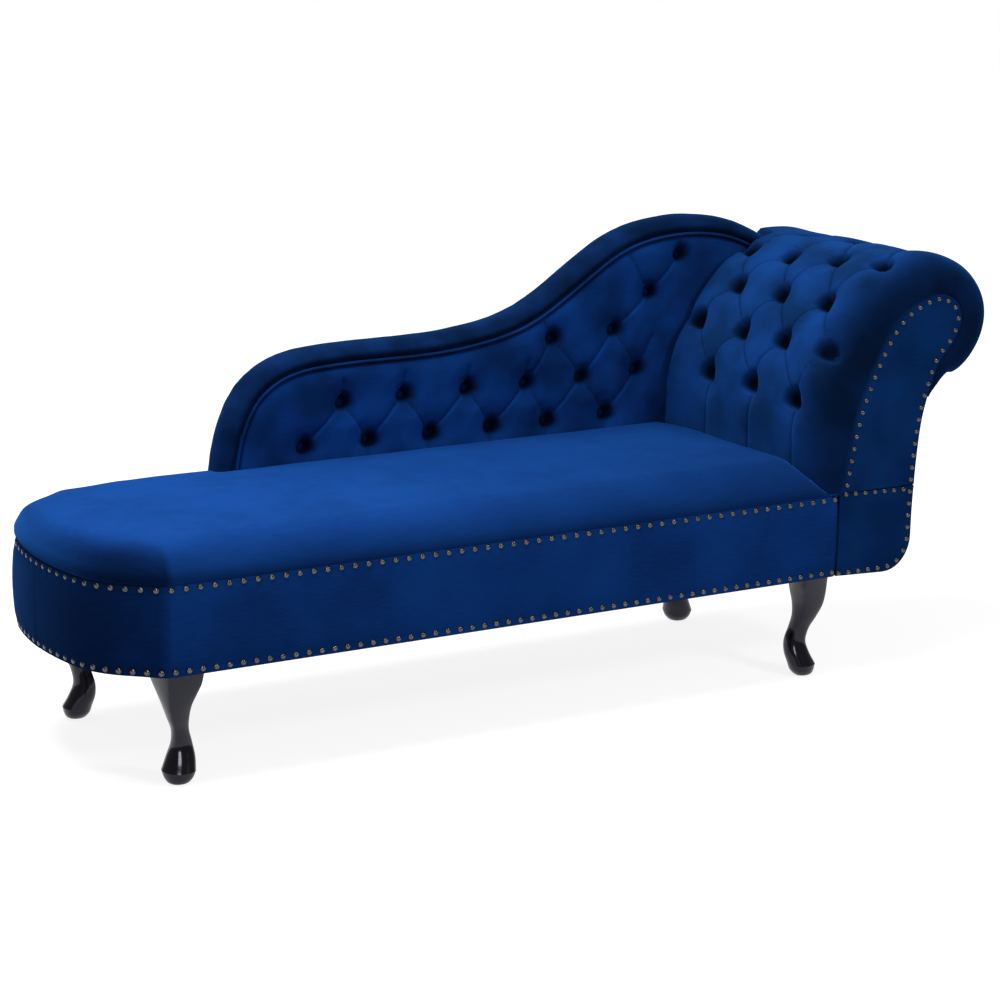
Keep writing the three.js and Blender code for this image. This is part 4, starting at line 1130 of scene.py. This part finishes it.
class COUCH_OT_arm_pad(bpy.types.Operator):
    """Tufted pad over the scroll of the arm, with its covered buttons"""

    bl_idname = "couch.arm_pad"
    bl_label = "Arm pad"

    def execute(self, context):
        sizes = context.scene.couch_sizes
        base, thickness, normals = arm_base()
        run = lengths(base + normals * thickness[:, None])
        total = run[-1]
        # The pad's tip is fuller than its filling, by a thumb's width at most
        thickness = thickness + sizes.tip_fill * bell(run / total, 0.77, 0.14)
        depths, heights, full = arm_form(base, thickness, normals, run)
        rows = [[np.array((total * share, y * MM)) for share, y in row] for row in ARM_ROWS]
        pleats = meeting(rows, 140 * MM, 0.8, 0.24)
        pleats += [straight(b, np.array((-0.02, b[1]))) for b in rows[0]]
        pleats += [straight(np.array((total * 0.72, b[1])), b) for b in rows[-1]]
        places = np.stack((np.broadcast_to(run[:, None], depths.shape), depths), axis=-1)
        sunk, crease, hollow, near = tufting("arm", sizes.arm_tuft_depth, places, rows, pleats)
        # The crest sinks a little behind its front roll, and more towards the rear
        crest = bell(run / total, 0.58, 0.16)[:, None]
        sag = 7 * ramp(depths, 0.02, 0.12) + 4 * ramp(depths, 0.2, DEPTH - 0.2) ** 1.5
        sag = sag + 3 * bell(depths, 0.39, 0.07)
        pull = sunk * heights**2 + crest * sag * MM
        height = full - np.minimum(pull, np.maximum(full - 3 * MM, 0) * 0.8)
        points = stood(base[:, None, :] + normals[:, None, :] * height[..., None], depths)
        loose = heights * ramp(near, 0, 20 * MM)
        points += stood(normals, 0.0)[:, None, :] * (drawn(points, 0.07, 5.0) * MM * loose)[..., None]
        # Painted shade in the hollows and creases, and along the front roll
        shade = np.maximum(np.clip(1.9 * hollow, 0, 0.95), 0.5 * crease) * heights
        roll = np.clip(1.1 - np.maximum(depths, 0) / (50 * MM), 0, 1)
        mesh = skin(points, wrapped=True, capped=True, shade=np.maximum(shade, 0.58 * roll))
        piece("arm_cushion", mesh, finish_of("tufted"), ("arm_pad",))
        mesh = bmesh.new()
        for place, depth in (b for row in rows for b in row):
            i = int(np.argmin(np.abs(run - place)))
            j = int(np.argmin(np.abs(depths[i] - depth)))
            at = base[i] + normals[i] * (height[i, j] - 0.5 * MM)
            centre = Vector(stood(at, depth) + ORIGIN)
            add_button(mesh, centre, Vector(stood(normals[i], 0.0)), sizes.button_radius)
        # The buttons take the border's velvet, the darkest: painted shade, as they sit deep in their hollows
        piece("arm_buttons", mesh, finish_of("border"))
        return {"FINISHED"}


# Border of the back: width of its roll, distances of its front and rear from the panel, inset of the
# piping; and the back pad's edge, its rear and its face, as distances from the front
BACK_BORDER = 28 * MM
BORDER_FRONT = 58 * MM
BORDER_REAR = 6 * MM
WELT_INSET = 32 * MM
BACK_PAD_EDGE = 434 * MM
BACK_PAD_REAR = 457 * MM
BACK_FACE = 425.9 * MM
# Section of the roll: shares of its width inwards and of its depth towards the rear
BORDER_SHARES = (
    (1.00, 0.00), (0.80, -0.045), (0.62, -0.05), (0.40, 0.02), (0.22, 0.10), (0.09, 0.21), (0.02, 0.34),
    (0.00, 0.46), (0.00, 0.58), (0.05, 0.72), (0.16, 0.84), (0.32, 0.93), (0.50, 0.98), (1.00, 1.00),
)
# Back buttons as x, and height over the base's bottom, in millimetres
BACK_ROWS = (
    ((565, 230), (692, 230), (815, 229), (941, 230), (1059, 229), (1184, 231)),
    ((641, 301), (762, 304), (891, 304), (1015, 303), (1132, 304), (1252, 308)),
    ((1069, 380), (1201, 386)),
    ((1277, 450),),
    ((1342, 516),),
)
# Pleats that end under the border: row and place of their button, then rise and run in millimetres
BACK_LOOSE = (
    (1, 0, 42, 2),
    (1, 1, 42, 2),
    (1, 2, 42, 2),
    (1, 3, 42, 2),
    (1, 5, 60, 30),
    (2, 0, 72, -38),
    (3, 0, 82, -50),
    (4, 0, 36, 0),
)


class COUCH_OT_border(bpy.types.Operator):
    """Padded roll along the crest of the back, and the piping inside it"""

    bl_idname = "couch.border"
    bl_label = "Back border"

    def execute(self, context):
        sizes = context.scene.couch_sizes
        line = crest_line(4 * MM)
        normals = outward(line)
        inset = 1.5 * MM * bell(line[:, 0], BACK_FOOT_X + 0.06, 0.1)
        line = line - normals * inset[:, None]
        span = BORDER_FRONT + BORDER_REAR
        front = DEPTH - BORDER_FRONT
        section = [(-BACK_BORDER * inner, front + span * across) for inner, across in BORDER_SHARES]
        section = spline(section, 4 * MM)
        points = tube(line, normals, section, in_elevation)
        centre = stood(line, front + span / 2) - stood(normals, 0.0) * BACK_BORDER / 2
        out = points - centre[:, None, :]
        out /= np.linalg.norm(out, axis=-1, keepdims=True)
        # Folds across the roll where the cover is drawn round the curves
        run = lengths(line)
        curl = np.abs(np.gradient(np.unwrap(np.arctan2(normals[:, 1], normals[:, 0])), run))
        curl = np.clip(eased(curl, 20) / 6, 0.15, 1)
        wrinkles = np.array([noise.noise(Vector((d / 0.018, 2.0, 5.0))) for d in run]) * curl
        within = section[:, 0] + BACK_BORDER
        free = ramp(within, 0, 10 * MM)[None, :]
        points += out * (wrinkles[:, None] * free * 1.1 * MM)[..., None]
        points += out * (drawn(points, 0.05, 21.0) * 0.9 * MM * free)[..., None]
        # Painted shade along the roll's inner edge, beside the piping
        shade = np.broadcast_to(0.8 * fading(within, 9 * MM)[None, :], points.shape[:2])
        mesh = skin(points, wrapped=True, capped=True, shade=shade)
        piece("back_roll", mesh, finish_of("border"), ("back_border",))
        radius = sizes.welt_radius
        turn = np.linspace(0, 2 * math.pi, 13)[:-1]
        welt_y = BACK_PAD_EDGE - radius - 1.4 * MM
        ring = np.stack((radius * np.cos(turn) - WELT_INSET, welt_y - radius * np.sin(turn)), axis=1)
        mesh = skin(tube(line, normals, ring, in_elevation), wrapped=True, capped=True)
        piece("back_piping", mesh, finish_of("tufted"), ("back_welt",))
        return {"FINISHED"}


class COUCH_OT_back_pad(bpy.types.Operator):
    """Tufted pad of the serpentine back, with its covered buttons"""

    bl_idname = "couch.back_pad"
    bl_label = "Back pad"

    def execute(self, context):
        sizes = context.scene.couch_sizes
        crest = crest_line(4 * MM)
        rim = crest - outward(crest) * (BACK_BORDER + GAP)
        limit = scroll_line(4 * MM)[:, :2]
        limit = limit + outward(limit) * GAP * 3
        # Columns from the foot side, closer together at first, each from the seat or the arm to the rim
        first_x = rim[:6, 0].max() + GAP
        last_x = BACK_END_X - BACK_BORDER - 8 * MM
        close = first_x + np.linspace(0, 0.03, 12)[1:-1]
        grid_x = np.sort(np.concatenate((np.linspace(first_x, last_x, 420), close)))
        rising = rim[np.argmax(rim[:, 0] > rim[0, 0] + 1e-4) :]
        order = np.argsort(rising[:, 0], kind="stable")
        top = np.interp(grid_x, rising[order, 0], rising[order, 1]) - GAP * 2
        near_limit = limit[: np.argmax(limit[:, 0])]
        low = np.interp(grid_x, near_limit[:, 0], near_limit[:, 1])
        bottom = np.where(grid_x < limit[0, 0], SEAT_BOTTOM, low)
        shares = np.linspace(0, 1, 165)
        x = np.broadcast_to(grid_x[:, None], (len(grid_x), len(shares)))
        z = bottom[:, None] + (top - bottom)[:, None] * shares[None, :]
        places = np.stack((x, z), axis=-1)
        rows = [[np.array((up * MM + BASE_BOTTOM, along * MM)) for along, up in row] for row in BACK_ROWS]
        pleats = meeting(rows, 112 * MM, 0.12, 0.12)
        pleats += [straight(b, np.array((BASE_TOP, b[1]))) for b in rows[0]]
        for row, count, rise, side in BACK_LOOSE:
            button = rows[row][count]
            pleats.append(straight(button + (rise * MM, side * MM), button))
        depth = sizes.back_tuft_depth
        sunk, crease, hollow = tufting("back", depth, places[..., ::-1], rows, pleats)[:3]
        # The pad rises from the flat land beside the piping
        land = WELT_INSET - BACK_BORDER + 3.8 * MM
        inside = np.maximum(distance_to_line(places, rim[::3]) - land, 0)
        edge = rounded(inside, 30 * MM)
        rise = (BACK_FACE - BACK_PAD_EDGE + sunk) * edge
        rise += drawn(in_elevation(x, z, np.zeros_like(x)), 0.06, 9.0) * MM * edge
        outer = in_elevation(x, z, BACK_PAD_EDGE + rise)
        # Painted shade in the hollows, deeper in the lower rows, along the piping and along the arm
        dark = 1.35 + 0.5 * ramp(z, BASE_BOTTOM + 0.27, -30 * MM)
        shade = np.maximum(np.clip(dark * hollow, 0, 0.9), 0.25 * crease)
        shade = np.maximum(shade, 0.8 * fading(inside, 6 * MM))
        shade = np.maximum(shade, 0.7 * fading(distance_to_line(places, limit[::4]), 16 * MM))
        shade = np.pad(shade, ((0, 0), (1, 1)), mode="edge")
        rear = np.full(len(grid_x), BACK_PAD_REAR)
        lips = [in_elevation(grid_x, lip, rear)[:, None] for lip in (bottom, top)]
        points = np.concatenate((lips[0], outer, lips[1]), axis=1)
        mesh = skin(points, wrapped=True, capped=True, shade=shade)
        piece("back_cushion", mesh, finish_of("back"), ("back_pad",))
        mesh = bmesh.new()
        for up, along in (b for row in rows for b in row):
            centre = Vector(np.array((along, BACK_FACE + depth - 2 * MM, up)) + ORIGIN)
            add_button(mesh, centre, Vector((0, -1, 0)), sizes.button_radius)
        # The buttons take the border's velvet, the darkest: painted shade, as they sit deep in their hollows
        piece("back_buttons", mesh, finish_of("border"))
        return {"FINISHED"}


# Inset of the facing's nails from its outline
FACING_INSET = 9.5 * MM
# Facing's rim as distance inwards from its outline, depth behind the plane of the front, and painted shade
FACING_RIM = (
    (0.0, 5.7, 0.9),
    (0.0, 3.0, 0.8),
    (0.15, 1.9, 0.7),
    (0.5, 1.0, 0.45),
    (1.2, 0.3, 0.25),
    (2.4, -0.2, 0.1),
)


def facing_depth(inside):
    """Depth behind the front's plane: a dip under the nails, and a fuller middle."""
    dip = bell(inside, FACING_INSET, 4 * MM)
    full = rounded(np.maximum(inside - FACING_INSET, 0), 40 * MM)
    return -0.2 * MM + 0.6 * MM * dip - 1.6 * MM * full


def facing_part(outline, start, way):
    """One field of a facing, with its rim rolled over and its face padded."""
    line = softened(outline, 1.5 * MM, 3)
    normals = outward(line, closed=True)
    insets, depths, darks = np.array(FACING_RIM).T
    rings = [stood(line - normals * i * MM, start + way * d * MM) for i, d in zip(insets, depths)]
    shade = np.broadcast_to(darks[:, None], (len(rings), len(line)))
    mesh = skin(np.array(rings), wrapped=True, capped="whole", shade=shade)
    inside = gridded(mesh, last_cap(mesh, 1, -way), GRID, (0, 2))
    places = np.array([(v.co.x - ORIGIN[0], v.co.z) for v in inside])
    depths = facing_depth(distance_to_line(places, np.vstack((line, line[:1]))))
    layer = mesh.verts.layers.float["shade"]
    for vertex, depth in zip(inside, depths):
        vertex.co.y = FRONT_Y + start + way * depth
        vertex[layer] = 0.0
    bmesh.ops.triangulate(mesh, faces=[f for f in mesh.faces if len(f.verts) > 4])
    bmesh.ops.recalc_face_normals(mesh, faces=mesh.faces)
    return mesh


class COUCH_OT_facings(bpy.types.Operator):
    """Front and rear facings of the arm, its outer cover and the back's rear cover"""

    bl_idname = "couch.facings"
    bl_label = "Arm facings"

    def execute(self, context):
        for side, start, way in (("front", 0.0, 1), ("rear", DEPTH, -1)):
            mesh = bmesh.new()
            for outline in facing_lines():
                part = facing_part(outline, start, way)
                held = bpy.data.meshes.new("facing_part")
                part.to_mesh(held)
                part.free()
                mesh.from_mesh(held)
                bpy.data.meshes.remove(held)
            covers = (f"arm_{side}_facing",)
            piece(f"arm_facing_{side}", mesh, finish_of("facing"), covers, crease=CREASE)
        for name, node in (("arm_outer_skin", "arm_outer_cover"), ("back_rear_skin", "back_outer_cover")):
            mesh = copied(node)
            if node == "arm_outer_cover":
                for vertex in mesh.verts:
                    x, z = rounder(vertex.co.x - ORIGIN[0], vertex.co.z)
                    vertex.co.x = x + ORIGIN[0]
                    vertex.co.z = sagged(x, z)
            bevelled(mesh, 50, 1.6 * MM, 3)
            piece(name, mesh, finish_of("border"), (node,), crease=CREASE)
        return {"FINISHED"}


# Nail's height over its radius, and the angle at its rim
NAIL_RISE = 0.62
NAIL_CREASE = math.radians(40)
# Row under the arm's panel: insets of its ends, its height at them, and its spacing
CROSS_START = (15 * MM, 0.5 * MM)
CROSS_END = (-16 * MM, -4.5 * MM)
CROSS_PITCH = 20.3 * MM


def add_nail(mesh, centre, axis, radius):
    """A domed head with painted shade at its rim, cut flat where it meets the cloth."""
    place = standing(centre, axis, radius, NAIL_RISE)
    made = bmesh.ops.create_uvsphere(mesh, u_segments=12, v_segments=8, radius=1, matrix=place)
    geometry = list(made["verts"])
    edges = list({e for v in geometry for e in v.link_edges})
    faces = list({f for v in geometry for f in v.link_faces})
    cut = bmesh.ops.bisect_plane(
        mesh, geom=geometry + edges + faces, plane_co=centre, plane_no=axis, clear_inner=True, dist=1e-7
    )
    # Painted shade at the rim, where the head meets the cloth
    layer = mesh.verts.layers.float["shade"]
    kept = [v for v in geometry if v.is_valid]
    kept += [v for v in cut["geom_cut"] if isinstance(v, bmesh.types.BMVert)]
    for vertex in kept:
        height = (vertex.co - centre).dot(axis) / (radius * NAIL_RISE)
        vertex[layer] = min(max(1.3 - 1.7 * height, 0), 1)


def arm_nails(sizes):
    """Places of the nails round the arm's facing and across it, as x and z."""
    panel, box = (line - outward(line, closed=True) * FACING_INSET for line in facing_lines())
    start = int(np.argmax(panel[:, 1] > BASE_TOP + 12 * MM))
    edge = panel[start : len(panel) - 2]
    last = np.array(((SEAT_RUN + 6 * MM, box[0][1]),))
    path = eased(even(np.vstack((edge, box[3:], last)), 2 * MM), 6)
    row = np.array(((SEAT_RUN, BASE_TOP), (edge[-1][0], BASE_TOP))) + (CROSS_START, CROSS_END)
    return np.vstack((
        along(path, nail_shares(sizes.nail_pitch * 0.95, 0, lengths(path)[-1])),
        along(row, nail_shares(CROSS_PITCH, 0, lengths(row)[-1])),
    ))


class COUCH_OT_nails(bpy.types.Operator):
    """Rows of domed brass nails round the base and the arm's facing"""

    bl_idname = "couch.nails"
    bl_label = "Nails"

    def execute(self, context):
        sizes = context.scene.couch_sizes
        line = base_line(BASE_STEP)
        normals = outward(line)
        run = lengths(line)
        for name, height, nails in base_rows(line, sizes):
            mesh = bmesh.new()
            mesh.verts.layers.float.new("shade")
            for place, normal in zip(along(line, nails), along_values(normals, run, nails)):
                centre = np.append(place - normal * 0.8 * MM, BASE_BOTTOM + height) + ORIGIN
                add_nail(mesh, Vector(centre), Vector((*normal, 0)), sizes.nail_radius)
            piece(name, mesh, finish_of("brass"), crease=NAIL_CREASE)
        mesh = bmesh.new()
        mesh.verts.layers.float.new("shade")
        for place in arm_nails(sizes):
            centre = Vector(stood(place, 0.2 * MM) + ORIGIN)
            add_nail(mesh, centre, Vector((0, -1, 0)), sizes.nail_radius * 0.94)
        piece("nails_arm", mesh, finish_of("brass"), crease=NAIL_CREASE)
        return {"FINISHED"}


# Cabriole leg: height, outward, width, depth and squareness in shares as the frame has them
LEG_SHARES = (
    (1.000, -0.05, 1.10, 1.02, 1.7),
    (0.910, -0.05, 1.02, 0.99, 1.7),
    (0.810, -0.04, 0.83, 0.92, 1.6),
    (0.695, -0.04, 0.60, 0.79, 1.5),
    (0.575, -0.11, 0.45, 0.63, 1.4),
    (0.450, -0.24, 0.35, 0.53, 1.3),
    (0.333, -0.32, 0.41, 0.56, 1.2),
    (0.211, -0.26, 0.56, 0.66, 1.1),
    (0.105, -0.13, 0.66, 0.72, 1.1),
    (0.055, -0.12, 0.58, 0.65, 1.1),
    (0.014, -0.10, 0.45, 0.52, 1.1),
    (0.000, -0.10, 0.36, 0.42, 1.1),
)
KNEE_WIDTH = 86 * MM
KNEE_DEPTH = 70 * MM
LEG_SOLE = 1.5 * MM
# Shifts of two legs along the couch to their photographed place, and the ways in degrees they point
LEG_SHIFTS = {"foot_front": -3 * MM, "head_front": 4 * MM}
LEG_TURNS = {"foot_front": 225, "foot_rear": 135, "head_front": 315, "head_rear": 45}


class COUCH_OT_legs(bpy.types.Operator):
    """Four lacquered cabriole legs"""

    bl_idname = "couch.legs"
    bl_label = "Legs"

    def execute(self, context):
        table = np.array(LEG_SHARES)
        # Two curves meet in the toe's widest row
        rows = np.vstack((spline(table[:9], 0.02), spline(table[8:], 0.02)[1:]))
        turn = np.linspace(0, 2 * math.pi, 41)[:-1]
        cosine, sine = np.cos(turn), np.sin(turn)
        for name, degrees in LEG_TURNS.items():
            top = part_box(f"leg_{name}")[1].z
            glide_low, glide_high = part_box(f"glide_{name}")
            turned = math.radians(degrees)
            toe = np.array((math.cos(turned), math.sin(turned)))
            sole = np.array(((glide_low.x + glide_high.x) / 2, (glide_low.y + glide_high.y) / 2))
            knee = sole - toe * KNEE_DEPTH * LEG_SHARES[-1][1] + np.array((LEG_SHIFTS.get(name, 0.0), 0))
            rings = []
            for height, shift, width, depth, power in rows:
                forward = KNEE_DEPTH * (shift + depth / 2 * np.sign(cosine) * np.abs(cosine) ** power)
                side = KNEE_WIDTH * width / 2 * np.sign(sine) * np.abs(sine) ** power
                x = knee[0] + toe[0] * forward - toe[1] * side
                y = knee[1] + toe[1] * forward + toe[0] * side
                z = LEG_SOLE + (top - LEG_SOLE) * min(max(height, 0), 1)
                rings.append(np.column_stack((x, y, np.full(len(x), z))))
            mesh = skin(np.stack(rings) - ORIGIN, wrapped=True, capped=True)
            bevelled(mesh, 60, 0.8 * MM, 2)
            leg = (f"leg_{name}",)
            crease = math.radians(28)
            piece(f"lacquered_leg_{name}", mesh, finish_of("lacquer"), leg, crease=crease)
        return {"FINISHED"}


class COUCH_OT_frame(bpy.types.Operator):
    """Finishes of the frame, springs, bolts, glides and dust cover"""

    bl_idname = "couch.frame"
    bl_label = "Frame finishes"

    def execute(self, context):
        finishes = {"timber": "timber", "steel": "zinc", "cambric": "cambric", "nylon": "nylon"}
        finishes.update({"velvet": "border", "lacquer": "lacquer"})
        slots = {s["node"]: s["material_slot"] for s in frame["record"]["subparts"]}
        for node, shown in frame["nodes"].items():
            shown.data.materials.clear()
            shown.data.materials.append(finish_of(finishes[slots[node]]))
        return {"FINISHED"}


WHITE = (1, 1, 1, 1)
FLOOR_GREY = (0.35, 0.35, 0.35, 1)
# Lamps: place, target and size in metres
LAMPS = {
    "key": ((1.3, -2.8, 2.2), (0.2, 0, 0.3), (0.5, 0.5)),
    "top": ((-0.75, 0.1, 2.5), (-0.3, 0, 0.4), (1.8, 1.8)),
    "window": ((-2.6, -4.3, 2.6), (-0.6, -0.2, 0.1), (1.7, 1.5)),
}


def white_sweep():
    """Floor that glows white where the camera or a reflection sees it, and is grey to all other light."""
    material = bpy.data.materials.new("white_sweep")
    material.use_nodes = True
    tree = material.node_tree
    tree.nodes.clear()
    place = add_node(tree, "ShaderNodeTexCoord").outputs["Object"]
    away = add_node(tree, "ShaderNodeVectorMath", {0: place}, operation="LENGTH").outputs["Value"]
    # Painted shade: the glow is a little weaker under the couch than far from it
    spread = {"Value": away, "From Min": 1.1, "From Max": 2.6, "To Min": 0.86, "To Max": 1.0}
    brighter = add_node(tree, "ShaderNodeMapRange", spread)
    glow = add_node(tree, "ShaderNodeEmission", {"Strength": brighter.outputs["Result"]})
    plain = add_node(tree, "ShaderNodeBsdfDiffuse", {"Color": FLOOR_GREY}).outputs["BSDF"]
    both = add_node(tree, "ShaderNodeAddShader", {0: plain, 1: glow.outputs["Emission"]})
    path = add_node(tree, "ShaderNodeLightPath").outputs
    rays = {0: path["Is Camera Ray"], 1: path["Is Glossy Ray"]}
    shown = add_node(tree, "ShaderNodeMath", rays, operation="MAXIMUM")
    parts = {0: shown.outputs["Value"], 1: plain, 2: both.outputs["Shader"]}
    seen = add_node(tree, "ShaderNodeMixShader", parts)
    add_node(tree, "ShaderNodeOutputMaterial", {"Surface": seen.outputs["Shader"]})
    return material


def white_room(strength):
    """World that is plain white to the camera and lights the couch with a strength of its own."""
    world = bpy.data.worlds.new("white_room")
    world.use_nodes = True
    tree = world.node_tree
    tree.nodes.clear()
    path = add_node(tree, "ShaderNodeLightPath").outputs
    lit = add_node(tree, "ShaderNodeBackground", {"Color": WHITE, "Strength": strength})
    seen = add_node(tree, "ShaderNodeBackground", {"Color": WHITE, "Strength": 1.0})
    parts = {0: path["Is Camera Ray"], 1: lit.outputs["Background"], 2: seen.outputs["Background"]}
    mixed = add_node(tree, "ShaderNodeMixShader", parts)
    add_node(tree, "ShaderNodeOutputWorld", {"Surface": mixed.outputs["Shader"]})
    return world


def add_lamp(name, place, target, size, power):
    """A rectangular lamp that is turned to its target."""
    lamp = bpy.data.lights.new(name, "AREA")
    lamp.shape = "RECTANGLE"
    lamp.energy = power
    lamp.size, lamp.size_y = size
    light = bpy.data.objects.new(name, lamp)
    light.location = place
    light.rotation_mode = "QUATERNION"
    light.rotation_quaternion = (Vector(target) - Vector(place)).to_track_quat("-Z", "Y")
    # The window is there for its reflection, which lacquer and brass show
    light.visible_diffuse = name != "window"
    bpy.context.scene.collection.objects.link(light)


class COUCH_OT_stage(bpy.types.Operator):
    """White floor and room, soft studio lights and the camera"""

    bl_idname = "couch.stage"
    bl_label = "Stage"

    def execute(self, context):
        scene = context.scene
        stage = scene.couch_stage
        mesh = bmesh.new()
        bmesh.ops.create_grid(mesh, x_segments=1, y_segments=1, size=9)
        data = bpy.data.meshes.new("floor")
        mesh.to_mesh(data)
        mesh.free()
        floor = bpy.data.objects.new("floor", data)
        data.materials.append(white_sweep())
        scene.collection.objects.link(floor)
        scene.world = white_room(stage.world_strength)
        for name, (place, target, size) in LAMPS.items():
            add_lamp(name, place, target, size, getattr(stage, f"{name}_strength"))
        azimuth, elevation, roll = stage.azimuth, stage.elevation, stage.roll
        level = math.cos(elevation)
        back = Vector((math.sin(azimuth) * level, -math.cos(azimuth) * level, math.sin(elevation)))
        right = (-back).cross(Vector((0, 0, 1))).normalized()
        up = right.cross(-back)
        right_rolled = right * math.cos(roll) + up * math.sin(roll)
        up_rolled = up * math.cos(roll) - right * math.sin(roll)
        lens = bpy.data.cameras.new("camera")
        lens.sensor_width = 36
        lens.lens = stage.lens
        lens.clip_end = 60
        camera = bpy.data.objects.new("camera", lens)
        turn = Matrix((right_rolled, up_rolled, back)).transposed()
        camera.matrix_world = Matrix.Translation(Vector(stage.place)) @ turn.to_4x4()
        scene.collection.objects.link(camera)
        scene.camera = camera
        scene.view_settings.view_transform = "Standard"
        return {"FINISHED"}


OPERATORS = (
    COUCH_OT_stage,
    COUCH_OT_base,
    COUCH_OT_seat,
    COUCH_OT_arm_pad,
    COUCH_OT_border,
    COUCH_OT_back_pad,
    COUCH_OT_facings,
    COUCH_OT_nails,
    COUCH_OT_legs,
    COUCH_OT_frame,
)


class COUCH_PT_panel(bpy.types.Panel):
    """Lists the couch's pieces"""

    bl_idname = "COUCH_PT_panel"
    bl_label = "Fainting couch"
    bl_space_type = "VIEW_3D"
    bl_region_type = "UI"
    bl_category = "Couch"

    def draw(self, context):
        for operator in OPERATORS:
            self.layout.operator(operator.bl_idname)
        for group in (context.scene.couch_sizes, context.scene.couch_colours, context.scene.couch_stage):
            for name in group.bl_rna.properties.keys():
                if name not in ("rna_type", "name"):
                    self.layout.prop(group, name)


GROUPS = {"couch_sizes": CouchSizes, "couch_colours": CouchColours, "couch_stage": CouchStage}


def register():
    for group in (*GROUPS.values(), *OPERATORS, COUCH_PT_panel):
        bpy.utils.register_class(group)
    for name, group in GROUPS.items():
        setattr(bpy.types.Scene, name, bpy.props.PointerProperty(type=group))


def unregister():
    for name in GROUPS:
        delattr(bpy.types.Scene, name)
    for group in (COUCH_PT_panel, *reversed(OPERATORS), *reversed(GROUPS.values())):
        bpy.utils.unregister_class(group)


def main():
    register()
    for operator in OPERATORS:
        name = operator.bl_idname.split(".")[1]
        getattr(bpy.ops.couch, name)()


if __name__ == "__main__":
    main()
